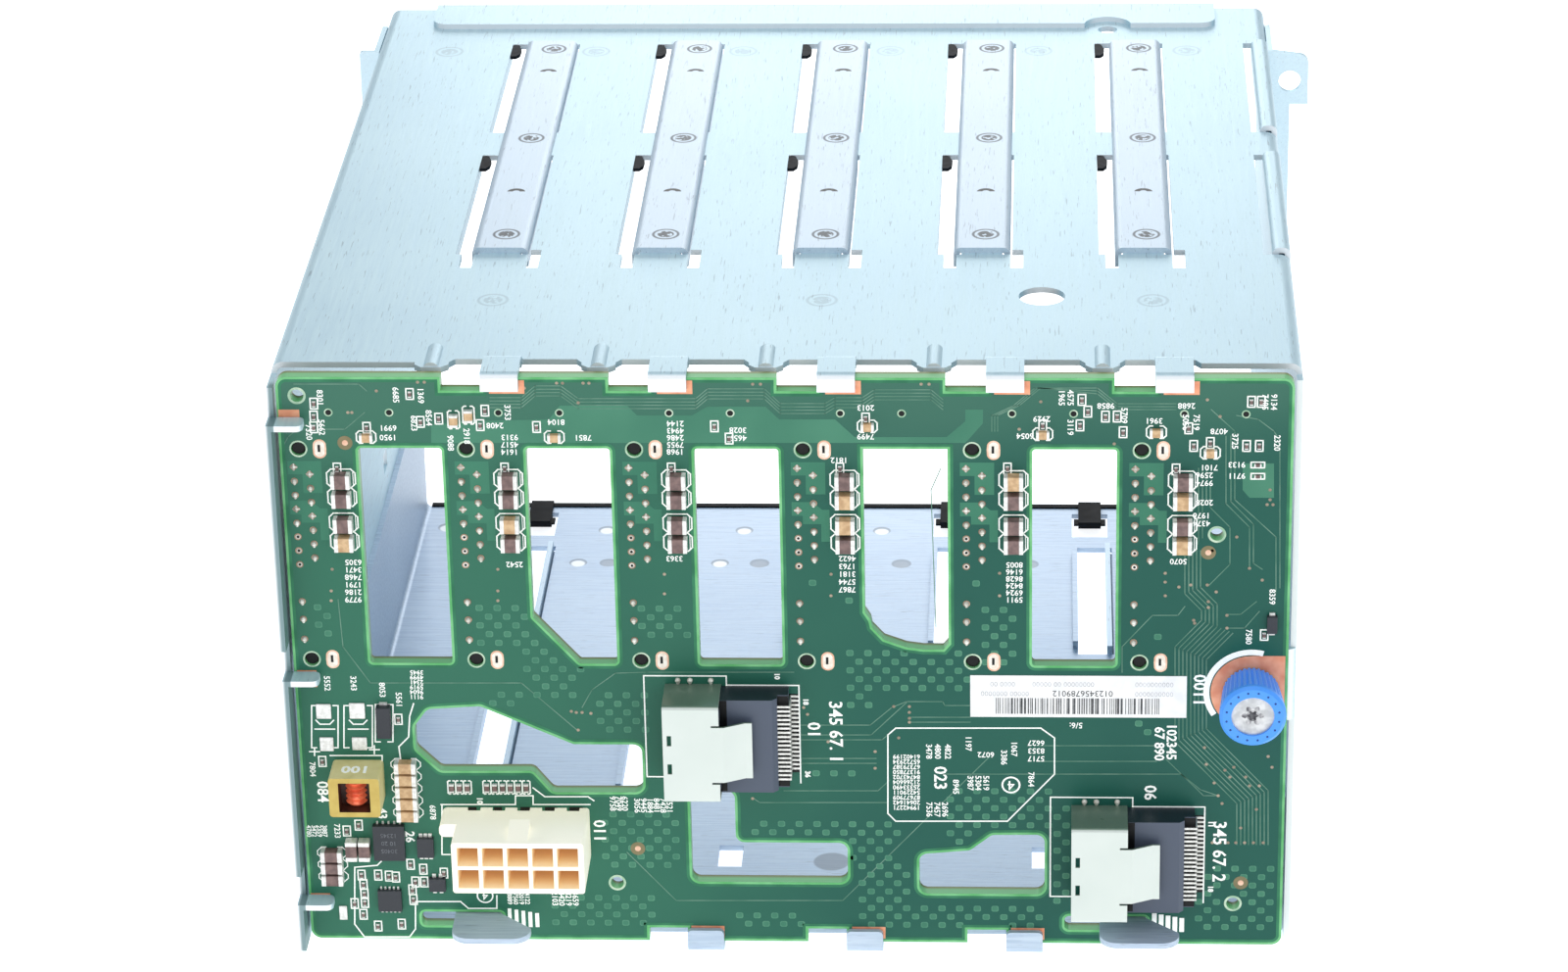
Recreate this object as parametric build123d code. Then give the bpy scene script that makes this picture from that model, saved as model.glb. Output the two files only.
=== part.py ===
from build123d import *
from math import atan2, degrees
import os

# Hot-swap drive cage: six upright bays in a folded steel box, closed at the rear by a backplane board.
# Features are placed from one datum, as on a board drawing: the board's outer face, on the axis of the
# upper locating hole of the first drive connector. X runs right, Y into the cage and Z up.
# The part frame has its origin on the underside of the middle floor rail, which the cage rests on.

# Overall sizes, in millimetres
bay_count = 6
bay_pitch = 27.6
board_width = 165.72
board_height = 105.2
board_thickness = 2.4
cage_front = 176.0
cage_top = 13.0
sheet = 1.0

# Board edges and the sheet metal round them
board_left = -3.14
board_bottom = -92.3
board_corner = 1.8
board_side_gap = 0.5
fold_radius = 1.5
cage_rear = 5.8
floor_under = -94.0
wall_tail = -4.0
right_wall_rear = 3.5
tray_flange_top = -67.0

# Guide rails and the slots that their flanges pass through
rail_left = 23.77
rail_width = 9.69
rail_rear = 52.6
rail_front = 155.8
rail_fold = 0.8
rail_reach = 1.5
slot_left = 21.0
floor_slot_left = 18.3
wall_guide_left = 160.9
wall_guide_slot = 159.4
wall_guide_lap = 3.0
slot_clearance = 0.35
slot_end_clearance = 0.6
bridge_rear = 98.0
bridge_front = 110.5
lip_end_gap = 2.0
small_slot_left = 33.5
small_slot_width = 2.2
small_slot_rear = 46.0
small_slot_front = 54.0

# Hooks that the board hangs on
top_hook_left = 30.5
top_hook_width = 6.2
top_hook_pitch = 27.4
top_hook_tip = 10.8
top_hook_count = 5
hook_gap = 0.2
rib_tab_centre = 22.0
rib_tab_width = 5.6
rib_tab_rear = 3.8
rib_tab_chamfer = 1.1
relief_chamfer = 0.9
relief_depth = 1.3
emboss_radius = 1.45
emboss_rear = 4.0
emboss_front = 12.0
bottom_hook_left = 61.6
bottom_hook_width = 6.2
bottom_hook_pitch = 27.15
bottom_hook_tip = -89.7
bottom_hook_count = 3
notch_width = 6.6
top_notch_depth = 2.4
bottom_notch_depth = 2.5
side_hook_heights = [5.8, -40.9, -83.7]
side_hook_tip = 1.4
side_hook_window = 5.5
tongue_lefts = [21.9, 131.7]
tongue_neck = 7.9
tongue_width = 13.4
tongue_top = -87.2
tongue_shoulder = -5.2
tongue_tip = -8.8
tongue_corner = 3.0
tongue_slot_lead = 5.9
tongue_slot_width = 14.1
tongue_slot_low = -89.7
tongue_slot_high = -87.0

# Holes and the doubled hem of the top plate
top_hole_place = (121.7, 33.7)
top_hole_radius = 3.9
hem_left = 4.6
hem_right = 154.5
hem_rear = 165.0
hem_relief_radius = 4.5
lip_screw_place = (134.0, 164.0)
lip_screw_radius = 1.85
wall_slot_low = -62.0
wall_slot_high = -58.0
wall_slot_rear = 123.0
wall_slot_front = 128.0

# Floor openings and the plastic strip on the floor's front edge
floor_square_left = 64.96
floor_square_width = 4.24
floor_square_rear = 27.0
floor_square_front = 34.6
clip_slot_left = 17.3
clip_slot_right = 24.4
clip_slot_rear = 161.3
clip_slot_front = 172.0
floor_front = 175.0
strip_rear = 174.6
strip_top = -92.7
strip_under = -94.7
clip_left = 18.6
clip_right = 23.1
clip_rear = 166.4
clip_top = -92.2
ear_overhang = 0.9
ear_length = 2.4
ear_top = -92.6

# Angle brackets at the front corners
bracket_face = 155.7
bracket_leg_front = 170.0
bracket_top = 11.8
bracket_bottom = -28.0
bracket_taper = 3.0
ear_corner = 1.9
flange_reach = 4.4
ear_reach = 7.8
ear_bottom = 1.0
ear_hole_place = (168.4, 5.6)
ear_hole_radius = 2.1
left_flange_reach = 3.8

# Board openings
window_left = 9.8
window_width = 13.8
window_top = 0.2
window_bottom = -39.3
window_corner = 0.6
chamfered_bay = 1
chamfer_side = -30.7
chamfer_foot = 7.5
curved_bay = 3
curved_steps = [(0, -29.5), (0.9, -31.0), (1.2, -32.4), (3.1, -34.6), (6.8, -36.0), (9.7, -36.4), (12.9, -36.4)]
curved_side = -35.3
opening_corner = 1.5
tooling_holes = [(0.29, 9.53), (49.8, -81.1), (150.44, -15.06), (154.25, -84.34)]
tooling_radius = 1.1

# Drive connectors, on the cage side of the board
locating_drop = 38.66
locating_radius = 1.2
peg_radius = 1.0
peg_end = 0.4
connector_left = -1.9
connector_right = 5.0
connector_overhang = 2.6
connector_front = 11.0
connector_throat = 4.4
connector_wall = 1.2
wafer_left = 1.0
wafer_thickness = 1.1

# Mini-SAS ports: shell, moulded body and tails
port_places = [(59.0, -52.0), (126.85, -74.6)]
shell_length = 9.4
shell_width = 18.0
shell_height = 8.5
shell_sheet = 0.4
latch_width = 10.3
latch_start = 0.7
latch_foot = 4.2
latch_length = 5.4
latch_drop = 1.7
latch_slit_length = 1.3
latch_slit_width = 0.35
key_slot_inset = 0.7
key_slot_length = 0.75
key_slot_width = 1.9
key_slot_spread = 5.3
body_length = 9.5
base_length = 1.8
base_height = 3.3
body_width = 17.3
body_height = 5.3
insert_length = 5.0
insert_width = 15.0
insert_low = 1.4
insert_high = 6.6
paddle_slot = 1.6
tail_count = 18
tail_pitch = 0.8
tail_width = 0.34
tail_thickness = 0.22
tail_reach = 3.4
tail_bend = 2.2
tail_shoulder = 4.1

# Power header, two rows of five
header_left = 23.3
header_width = 22.2
header_top = -66.7
header_depth = 9.55
header_height = 12.5
header_columns = 5
header_rows = 2
cell_pitch = 4.2
cell_size = 3.55
cell_depth = 9.6
ramp_width = 3.4
ramp_length = 6.0
ramp_rise = 1.3
boss_reach = 2.7
boss_width = 2.4
boss_height = 6.0
base_notch_width = 2.2
base_notch_rise = 1.1
base_notch_depth = 0.8
pin_side = 1.0
pin_front = -7.0
pin_end = 4.0
pin_hole_radius = 0.9

# Captive thumbscrew
screw_place = (156.55, -44.05)
knob_radius = 5.5
knob_rear_radius = 4.75
knob_front = -9.0
knob_rear = -0.4
knob_flutes = 36
flute_side = 0.44
flute_start = 1.2
skirt_radius = 3.9
skirt_depth = 5.9
head_radius = 3.55
head_recess = 0.5
head_thickness = 1.5
thread_radius = 2.0
thread_end = 7.4
neck_radius = 1.55
neck_rear = -0.55
neck_front = -1.95
drive_recess_radius = 1.5
drive_recess_depth = 1.0
running_gap = 0.3
ferrule_radius = 3.6
ferrule_front = -5.8
ferrule_lip = 0.6
ferrule_barrel = 2.9
washer_thickness = 0.8
washer_radius = 2.7
washer_bore = 1.85
nut_tab_left = 149.4
nut_tab_half_height = 6.6
nut_boss_radius = 3.2
nut_boss_length = 2.2

# Components soldered to the board's outer face
inductor_left = 2.4
inductor_top = -57.7
inductor_width = 8.6
inductor_tall = 7.3
inductor_height = 6.8
coil_window_width = 5.3
coil_window_tall = 5.5
coil_window_depth = 3.0
coil_turns = 5
wire_radius = 0.48
coil_radius = 1.8
cap_length = 3.2
cap_width = 2.5
cap_height = 1.9
cap_column = 6.75
cap_rows = [-5.3, -8.75, -13.3, -16.75]
stack_length = 3.7
stack_width = 1.9
stack_height = 1.9
stack_pitch = 2.3
stack_tops = [(14.75, -58.5, 5), (1.3, -75.6, 3)]
upright_caps = [(4.8, -74.5), (7.0, -74.5)]
chip_places = [
    (11.26, -73.2, 5.3, 6.6, 1.2),
    (17.4, -74.2, 2.8, 3.6, 1.0),
    (10.8, -84.6, 4.0, 4.0, 0.9),
    (19.1, -81.4, 2.8, 2.4, 1.0),
]
diode_places = [(11.55, -50.0, 2.4, 5.8, 1.6), (159.8, -30.3, 2.0, 4.2, 1.1)]

# Values worked out from the ones above
board_right = board_left + board_width
board_top = board_bottom + board_height
wall_left = board_left - board_side_gap
wall_right = board_right + board_side_gap
plate_under = cage_top - sheet
floor_top = floor_under + sheet
mid_height = (cage_top + floor_under) / 2
middle_rail = (bay_count - 2) / 2 * bay_pitch + rail_left + rail_width / 2
datum_to_frame = Pos(-middle_rail, -cage_front / 2, sheet - floor_under)


def block(x0, x1, y0, y1, z0, z1):
    """Box between three pairs of planes."""
    middle = Pos((x0 + x1) / 2, (y0 + y1) / 2, (z0 + z1) / 2)
    return middle * Box(x1 - x0, y1 - y0, z1 - z0)


def along_x(face, x0, x1):
    """Drawn face, its own x along Y and y along Z, given a length along X."""
    return extrude(Plane.YZ.offset(x0) * face, amount=x1 - x0)


def along_y(face, y0, y1):
    """Drawn face, its own x along X and y along Z, given a length along Y."""
    return extrude(Plane.XZ.offset(-y1) * face, amount=y1 - y0)


def along_z(face, z0, z1):
    """Drawn face in the XY plane given a height."""
    return extrude(Plane.XY.offset(z0) * face, amount=z1 - z0)


def rod(x, z, radius, y0, y1):
    """Round bar along Y."""
    return along_y(Pos(x, z) * Circle(radius), y0, y1)


def outline(points, radius):
    """Closed outline through points, each corner rounded."""
    face = make_face(Polyline(*points, close=True))
    return fillet(face.vertices(), radius)


def folded(points, radius, thickness=sheet):
    """Section of a folded sheet, drawn along its middle line."""
    return trace(FilletPolyline(*points, radius=radius), line_width=thickness)


def flipped(shape):
    """Same shape at the floor, mirrored about the cage's middle height."""
    return mirror(shape, about=Plane.XY.offset(mid_height))


def rail_slots(bay):
    """Openings in the top plate for one rail's two flanges, and the two small slots behind them."""
    shift = bay * bay_pitch
    rail_right = rail_left + rail_width
    cuts = []
    for y0, y1 in ((rail_rear, bridge_rear), (bridge_front, rail_front)):
        rear = y0 - slot_end_clearance
        front = y1 + slot_end_clearance
        cuts.append(block(shift + slot_left, shift + rail_left + sheet + slot_clearance,
                          rear, front, plate_under, cage_top))
        cuts.append(block(shift + rail_right - sheet - slot_clearance, shift + rail_right + slot_clearance,
                          rear, front, plate_under, cage_top))
    for left in (slot_left + small_slot_width / 2, small_slot_left):
        cuts.append(block(shift + left, shift + left + small_slot_width,
                          small_slot_rear, small_slot_front, plate_under, cage_top))
    return cuts


def floor_slots(bay):
    """Openings in the floor for one rail's single flange, wider than those in the top plate."""
    shift = bay * bay_pitch
    return [block(shift + floor_slot_left, shift + rail_left + sheet + slot_clearance,
                  y0 - slot_end_clearance, y1 + slot_end_clearance, floor_under, floor_top)
            for y0, y1 in ((rail_rear, bridge_rear), (bridge_front, rail_front))]


def slot_lips(left, base, tip):
    """Edges bent inwards along the left side of one rail's slots, which guide the carriers."""
    return [block(left - sheet, left, y0 + lip_end_gap, y1 - lip_end_gap, min(base, tip), max(base, tip))
            for y0, y1 in ((rail_rear, bridge_rear), (bridge_front, rail_front))]


def wall_guides():
    """Guides folded from the right wall's top edge, inwards and down, in place of a sixth rail."""
    half = sheet / 2
    section = folded([(wall_guide_left + half, plate_under - rail_reach), (wall_guide_left + half, cage_top + half),
                      (wall_right + half, cage_top + half), (wall_right + half, plate_under - wall_guide_lap)],
                     rail_fold)
    return [along_y(section, y0, y1) for y0, y1 in ((rail_rear, bridge_rear), (bridge_front, rail_front))]


def top_hook(index):
    """Hook on the plate's rear edge: stepped up one sheet, over the board's edge and down its face."""
    left = top_hook_left + index * top_hook_pitch
    middle = cage_top - sheet / 2
    face = -hook_gap - sheet / 2
    line = [(cage_rear + 4, middle), (cage_rear + 1.6, middle), (cage_rear + 0.2, middle + sheet),
            (face, middle + sheet), (face, top_hook_tip)]
    return along_x(folded(line, 0.6), left, left + top_hook_width)


def hook_relief(index):
    """Recess in the plate's rear edge on both sides of a hook, its far corners chamfered."""
    left = top_hook_left + index * top_hook_pitch
    start = rib_tab_centre + index * top_hook_pitch + rib_tab_width / 2
    stop = start + top_hook_pitch - rib_tab_width
    if index == top_hook_count - 1:
        stop = left + top_hook_width + relief_depth
    face = make_face(Polyline((start, cage_rear), (start + relief_chamfer, cage_rear + relief_depth),
                              (stop - relief_chamfer, cage_rear + relief_depth), (stop, cage_rear), close=True))
    return along_z(face, plate_under, cage_top) - block(left, left + top_hook_width, cage_rear,
                                                        cage_rear + relief_depth, plate_under, cage_top)


def rib_tab(index):
    """Tab beside each hook with chamfered corners, stiffened by a half-round rib pressed up along it."""
    centre = rib_tab_centre + index * top_hook_pitch
    half = rib_tab_width / 2
    tab = block(centre - half, centre + half, rib_tab_rear, cage_rear + sheet, plate_under, cage_top)
    tab = chamfer(tab.edges().filter_by(Axis.Z).group_by(Axis.Y)[0], rib_tab_chamfer)
    rib = rod(centre, cage_top - emboss_radius / 2, emboss_radius, emboss_rear, emboss_front)
    above = block(centre - half, centre + half, emboss_rear, emboss_front, plate_under, cage_top + emboss_radius)
    groove = rod(centre, plate_under, emboss_radius - 0.7, emboss_rear, emboss_front)
    return tab + (rib & above) - groove


def side_hook(height):
    """Tab lanced from the left wall and folded in over the board's outer face."""
    tab = block(wall_left - sheet / 2, side_hook_tip, wall_tail, -hook_gap, height - sheet, height)
    nose = tab.edges().filter_by(Axis.Z).group_by(Axis.X)[-1]
    return fillet(nose, 1.2)


def cage_cover():
    """Top plate and both side walls, one folded sheet."""
    half = sheet / 2
    section = folded([(wall_left - half, floor_under), (wall_left - half, cage_top - half),
                      (wall_right + half, cage_top - half), (wall_right + half, floor_under)], fold_radius)
    cover = along_y(section, cage_rear, cage_front)
    tail_face = outline([(wall_tail, floor_top), (cage_rear + sheet, floor_top),
                         (cage_rear + sheet, plate_under - sheet), (wall_tail, plate_under - sheet)], 0.8)
    cover += along_x(tail_face, wall_left - sheet, wall_left)
    cover += block(wall_right, wall_right + sheet, right_wall_rear, cage_rear + sheet,
                   floor_top, plate_under - sheet)
    for index in range(top_hook_count):
        cover -= hook_relief(index)
        cover += top_hook(index)
        cover += rib_tab(index)
    for height in side_hook_heights:
        cover -= block(wall_left - sheet, wall_left, wall_tail, -hook_gap, height, height + side_hook_window)
        cover += side_hook(height)
    hem = block(hem_left, hem_right, hem_rear, cage_front, cage_top, cage_top + sheet)
    hem = fillet(hem.edges().filter_by(Axis.Z).group_by(Axis.Y)[0], 3.0)
    hem -= along_z(Pos(*lip_screw_place) * Circle(hem_relief_radius), cage_top, cage_top + sheet)
    cover += hem
    cover -= [block(wall_guide_slot, wall_right + sheet, y0 - slot_end_clearance, y1 + slot_end_clearance,
                    plate_under, cage_top)
              for y0, y1 in ((rail_rear, bridge_rear), (bridge_front, rail_front))]
    cover += wall_guides()
    cuts = []
    for bay in range(bay_count - 1):
        cover += slot_lips(bay * bay_pitch + slot_left, plate_under, plate_under - rail_reach)
        cuts += rail_slots(bay)
    cuts.append(along_z(Pos(*top_hole_place) * Circle(top_hole_radius), plate_under, cage_top))
    cuts.append(along_z(Pos(*lip_screw_place) * Circle(lip_screw_radius), plate_under, cage_top))
    cuts.append(block(wall_left - sheet, wall_left, wall_slot_rear, wall_slot_front, wall_slot_low, wall_slot_high))
    cover -= cuts
    return cover + nut_tab()


def nut_tab():
    """Tab folded in from the right wall behind the board, with the thumbscrew's threaded boss."""
    x, z = screw_place
    face = board_thickness + hook_gap
    half = sheet / 2
    section = folded([(nut_tab_left, face + half), (wall_right + half, face + half),
                      (wall_right + half, cage_rear + 3)], 1.0)
    tab = along_z(section, z - nut_tab_half_height, z + nut_tab_half_height)
    tab += rod(x, z, nut_boss_radius, face + half, face + sheet + nut_boss_length)
    return tab - rod(x, z, thread_radius + running_gap, face, face + sheet + nut_boss_length)


def floor_tongue(left):
    """Tongue stepped up from the floor: its neck goes through the board and its wing lies over the face."""
    middle = floor_under + sheet / 2
    rise = tongue_top - sheet / 2
    ramp = folded([(cage_rear + 6, middle), (cage_rear + 2.6, middle), (cage_rear - 2.0, rise),
                   (-hook_gap, rise)], 1.0)
    right = left + tongue_width
    wing = make_face(Polyline((left, -hook_gap), (left + tongue_neck, -hook_gap), (right, tongue_shoulder),
                              (right, tongue_tip), (left, tongue_tip), close=True))
    wing = fillet(wing.vertices().group_by(Axis.Y)[0], tongue_corner)
    return along_x(ramp, left, left + tongue_neck) + along_z(wing, tongue_top - sheet, tongue_top)


def floor_tray():
    """Floor and its two upright flanges, folded from one sheet, with hooks and tongues for the board."""
    half = sheet / 2
    middle = floor_under + half
    section = folded([(wall_left + half, tray_flange_top), (wall_left + half, middle),
                      (wall_right - half, middle), (wall_right - half, tray_flange_top)], fold_radius)
    tray = along_y(section, cage_rear, floor_front)
    for index in range(bottom_hook_count):
        left = bottom_hook_left + index * bottom_hook_pitch
        face = -hook_gap - half
        hook = along_x(folded([(cage_rear + 2, middle), (face, middle), (face, bottom_hook_tip)], 0.8),
                       left, left + bottom_hook_width)
        tips = hook.edges().filter_by(Axis.Y).group_by(Axis.Z)[-1]
        tray += fillet(tips, 0.8)
    for left in tongue_lefts:
        tray -= block(left - 0.5, left + tongue_neck + 0.5, cage_rear, cage_rear + 2.6, floor_under, floor_top)
        tray += floor_tongue(left)
    cuts = []
    for bay in range(bay_count - 1):
        shift = bay * bay_pitch
        tray += slot_lips(shift + floor_slot_left, floor_top, floor_top + rail_reach)
        cuts += floor_slots(bay)
        cuts.append(block(shift + clip_slot_left, shift + clip_slot_right,
                          clip_slot_rear, clip_slot_front, floor_under, floor_top))
    for bay in (0, 2):
        left = floor_square_left + bay * bay_pitch
        cuts.append(block(left, left + floor_square_width, floor_square_rear, floor_square_front,
                          floor_under, floor_top))
    return tray - cuts


def guide_rail(bay):
    """Channel whose flanges hang through the top plate between two bays; clinch joints hold it on."""
    shift = bay * bay_pitch
    half = sheet / 2
    left = shift + rail_left
    right = left + rail_width
    low = plate_under - rail_reach
    section = folded([(left + half, low), (left + half, cage_top + half),
                      (right - half, cage_top + half), (right - half, low)], rail_fold)
    rail = along_y(section, rail_rear, rail_front)
    return rail - block(left, right, bridge_rear, bridge_front, low, cage_top)


def floor_rail(bay):
    """Rail of the same section under the floor, with a flange on its left side only."""
    rail = flipped(guide_rail(bay))
    left = bay * bay_pitch + rail_left
    return rail - block(left + sheet + slot_clearance, left + rail_width, rail_rear, rail_front,
                        floor_under, floor_top + rail_reach)


def front_trim_strip():
    """Plastic edge strip pushed over the floor's front edge, with a snap clip at each rail."""
    strip = block(wall_left + sheet + 1, wall_right - sheet - 1, strip_rear, cage_front, strip_under, strip_top)
    strip -= block(wall_left, wall_right, strip_rear, floor_front, floor_under, floor_top)
    for bay in range(bay_count - 1):
        shift = bay * bay_pitch
        strip += block(shift + clip_left, shift + clip_right, clip_rear, cage_front, floor_top, clip_top)
        strip += block(shift + clip_left - ear_overhang, shift + clip_right + ear_overhang,
                       clip_rear, clip_rear + ear_length, floor_top, ear_top)
        strip += block(shift + clip_left, shift + clip_right, clip_rear + ear_length, clip_slot_front,
                       strip_under, floor_top)
    return strip


def right_ear_bracket():
    """Angle on the right wall whose flange stands out, with a pierced ear at its top."""
    face_x = wall_right + sheet
    leg = block(face_x, face_x + sheet, bracket_face, bracket_leg_front, bracket_bottom, bracket_top)
    tip = face_x + ear_reach
    flange = make_face(Polyline((face_x, bracket_bottom), (face_x + flange_reach - 1, bracket_bottom),
                                (face_x + flange_reach, bracket_bottom + bracket_taper),
                                (face_x + flange_reach, ear_bottom), (tip, ear_bottom), (tip, bracket_top - 1),
                                (face_x, bracket_top), close=True))
    flange = fillet(flange.vertices().sort_by(Axis.X)[-2:].sort_by(Axis.Y)[-1:], ear_corner)
    bracket = leg + along_y(flange, bracket_face, bracket_face + sheet)
    x, z = ear_hole_place
    return bracket - rod(x, z, ear_hole_radius, bracket_face, bracket_face + sheet)


def left_bracket():
    """Plain angle on the left wall."""
    face_x = wall_left - sheet
    leg = block(face_x - sheet, face_x, bracket_face, bracket_leg_front, bracket_bottom, bracket_top)
    flange = outline([(face_x, bracket_bottom), (face_x - left_flange_reach + 1, bracket_bottom),
                      (face_x - left_flange_reach, bracket_bottom + bracket_taper),
                      (face_x - left_flange_reach, bracket_top), (face_x, bracket_top)], 0.6)
    return leg + along_y(flange, bracket_face, bracket_face + sheet)


def window(bay):
    """Cooling window between two connectors: one has a cut corner and one a round corner."""
    left = bay * bay_pitch + window_left
    right = left + window_width
    if bay == chamfered_bay:
        return outline([(left, window_top), (right, window_top), (right, window_bottom),
                        (left + chamfer_foot, window_bottom), (left, chamfer_side)], window_corner)
    if bay == curved_bay:
        sweep = [(left + x, z) for x, z in curved_steps]
        return make_face(Polyline((right, curved_side), (right, window_top), (left, window_top), *sweep, close=True))
    return outline([(left, window_top), (right, window_top), (right, window_bottom), (left, window_bottom)],
                   window_corner)


def airflow_openings():
    """The three shaped openings low on the board."""
    inlet = [(16.6, -51.2), (18.9, -48.0), (27.8, -47.4), (43.3, -54.5), (54.8, -54.5),
             (54.8, -63.6), (39.5, -63.7), (36.3, -59.6), (20.6, -59.7), (16.6, -55.6)]
    step = [(62.6, -63.2), (70.2, -63.2), (70.2, -73.1), (89.1, -73.1), (89.1, -80.8), (62.6, -80.8)]
    pocket = [(101.2, -75.2), (109.8, -74.4), (113.5, -71.4), (122.4, -71.3), (122.4, -82.8), (101.2, -82.8)]
    return [outline(points, opening_corner) for points in (inlet, step, pocket)]


def pin_centres():
    """Power header pins, rows from the top down."""
    x0 = header_left + header_width / 2 - (header_columns - 1) * cell_pitch / 2
    z0 = header_top - header_depth / 2 + (header_rows - 1) * cell_pitch / 2
    return [(x0 + column * cell_pitch, z0 - row * cell_pitch)
            for row in range(header_rows) for column in range(header_columns)]


def backplane_board():
    """Printed circuit board with its windows, hook notches and connector holes."""
    corners = [(board_left, board_bottom), (board_right, board_bottom),
               (board_right, board_top), (board_left, board_top)]
    face = outline(corners, board_corner)
    for bay in range(bay_count - 1):
        face -= window(bay)
    face -= airflow_openings()
    for index in range(top_hook_count):
        right = top_hook_left + index * top_hook_pitch
        face -= Pos(right - notch_width / 2, board_top) * Rectangle(notch_width, 2 * top_notch_depth)
    for index in range(bottom_hook_count):
        right = bottom_hook_left + index * bottom_hook_pitch
        face -= Pos(right - notch_width / 2, board_bottom) * Rectangle(notch_width, 2 * bottom_notch_depth)
    for left in tongue_lefts:
        start = left - tongue_slot_lead
        face -= outline([(start, tongue_slot_low), (start + tongue_slot_width, tongue_slot_low),
                         (start + tongue_slot_width, tongue_slot_high), (start, tongue_slot_high)], 0.8)
    holes = [Pos(x, z) * Circle(tooling_radius) for x, z in tooling_holes]
    holes += [Pos(x, z) * Circle(pin_hole_radius) for x, z in pin_centres()]
    holes.append(Pos(*screw_place) * Circle(ferrule_barrel))
    for bay in range(bay_count):
        for z in (0, -locating_drop):
            holes.append(Pos(bay * bay_pitch, z) * Circle(locating_radius))
    return along_y(face - holes, 0, board_thickness)


def drive_connector(bay):
    """Receptacle for one drive: a slotted mouth with a contact wafer, and two locating pegs."""
    shift = bay * bay_pitch
    top = connector_overhang
    low = -locating_drop - connector_overhang
    body = block(shift + connector_left, shift + connector_right, board_thickness, connector_front, low, top)
    body = chamfer(body.edges().group_by(Axis.Y)[-1], 0.6)
    body -= block(shift + connector_left + connector_wall, shift + connector_right - connector_wall,
                  connector_throat, connector_front, low + 2 * connector_wall, top - 2 * connector_wall)
    body += block(shift + wafer_left, shift + wafer_left + wafer_thickness, connector_throat,
                  connector_front - connector_wall, low + 3 * connector_wall, top - 3 * connector_wall)
    for z in (0, -locating_drop):
        body += rod(shift, z, peg_radius, peg_end, board_thickness)
    return body


def port_shell(left, centre):
    """Stamped port shell, open to the left, with a sprung latch tongue over the body."""
    front = -shell_height
    half = shell_width / 2
    shell = block(left, left + shell_length, front, 0, centre - half, centre + half)
    shell = fillet(shell.edges().filter_by(Axis.X).group_by(Axis.Y)[0], 0.7)
    inner = block(left, left + shell_length, front + shell_sheet, 0,
                  centre - half + shell_sheet, centre + half - shell_sheet)
    shell -= inner
    right = left + shell_length
    middle = front + shell_sheet / 2
    line = [(right - 1, middle), (right + latch_start, middle), (right + latch_foot, middle + latch_drop),
            (right + latch_length, middle + latch_drop)]
    tongue = along_z(folded(line, 0.3, shell_sheet), centre - latch_width / 2, centre + latch_width / 2)
    shell += tongue
    for z in (centre - latch_width / 2 - latch_slit_width, centre + latch_width / 2):
        shell -= block(right - latch_slit_length, right, front, front + shell_sheet, z, z + latch_slit_width)
    for z in (centre - key_slot_spread / 2, centre + key_slot_spread / 2):
        shell -= block(left + key_slot_inset, left + key_slot_inset + key_slot_length, front,
                       front + shell_sheet, z - key_slot_width / 2, z + key_slot_width / 2)
    return shell


def port_body(left, centre):
    """Moulded body behind the shell, with the insert that a plug's card enters."""
    start = left + shell_length
    half = body_width / 2
    body = block(start, start + body_length, -body_height, 0, centre - half, centre + half)
    body = chamfer(body.edges().group_by(Axis.Y)[0].group_by(Axis.X)[-1], 0.8)
    insert = block(start - insert_length, start, -insert_high, -insert_low,
                   centre - insert_width / 2, centre + insert_width / 2)
    base = block(start, start + body_length + base_length, -base_height, 0, centre - half, centre + half)
    card = block(start - insert_length, start - 1, -(insert_low + insert_high + paddle_slot) / 2,
                 -(insert_low + insert_high - paddle_slot) / 2,
                 centre - insert_width / 2 + 1, centre + insert_width / 2 - 1)
    return body + base + insert - card


def port_contacts(left, centre):
    """Row of gull-wing tails at the body's far end."""
    start = left + shell_length + body_length
    tails = []
    for index in range(tail_count):
        z = centre + (index - (tail_count - 1) / 2) * tail_pitch
        low = z - tail_width / 2
        high = z + tail_width / 2
        arm = block(start, start + tail_bend, -tail_shoulder, tail_thickness - tail_shoulder, low, high)
        riser = block(start + tail_bend - tail_thickness, start + tail_bend, -tail_shoulder, 0, low, high)
        foot = block(start + tail_bend, start + tail_reach, -tail_thickness, 0, low, high)
        tails.append(arm + riser + foot)
    return Compound(children=tails)


def power_header_housing():
    """Ivory header with ten square cells, a latch ramp, a polarising boss and vent notches at its foot."""
    right = header_left + header_width
    low = header_top - header_depth
    housing = block(header_left, right, -header_height, 0, low, header_top)
    housing = fillet(housing.edges().filter_by(Axis.Y), 0.5)
    middle = header_left + header_width / 2
    ramp = make_face(Polyline((-header_height + 0.6, header_top), (-header_height + ramp_length, header_top),
                              (-header_height + ramp_length, header_top + ramp_rise), close=True))
    housing += along_x(ramp, middle - ramp_width / 2, middle + ramp_width / 2)
    boss = block(header_left - boss_reach, header_left + 1, -boss_height, 0, header_top - boss_width, header_top)
    housing += fillet(boss.edges().filter_by(Axis.Y).group_by(Axis.X)[0], 0.9)
    for x, z in pin_centres():
        housing -= along_y(Pos(x, z) * Rectangle(cell_size, cell_size), -header_height, -header_height + cell_depth)
        housing -= along_y(Pos(x, z) * Rectangle(pin_side, pin_side), -header_height + cell_depth, 0)
    for x, z in pin_centres()[:header_columns]:
        housing -= block(x - base_notch_width / 2, x + base_notch_width / 2, -base_notch_rise, 0,
                         header_top - base_notch_depth, header_top)
    return housing


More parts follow.
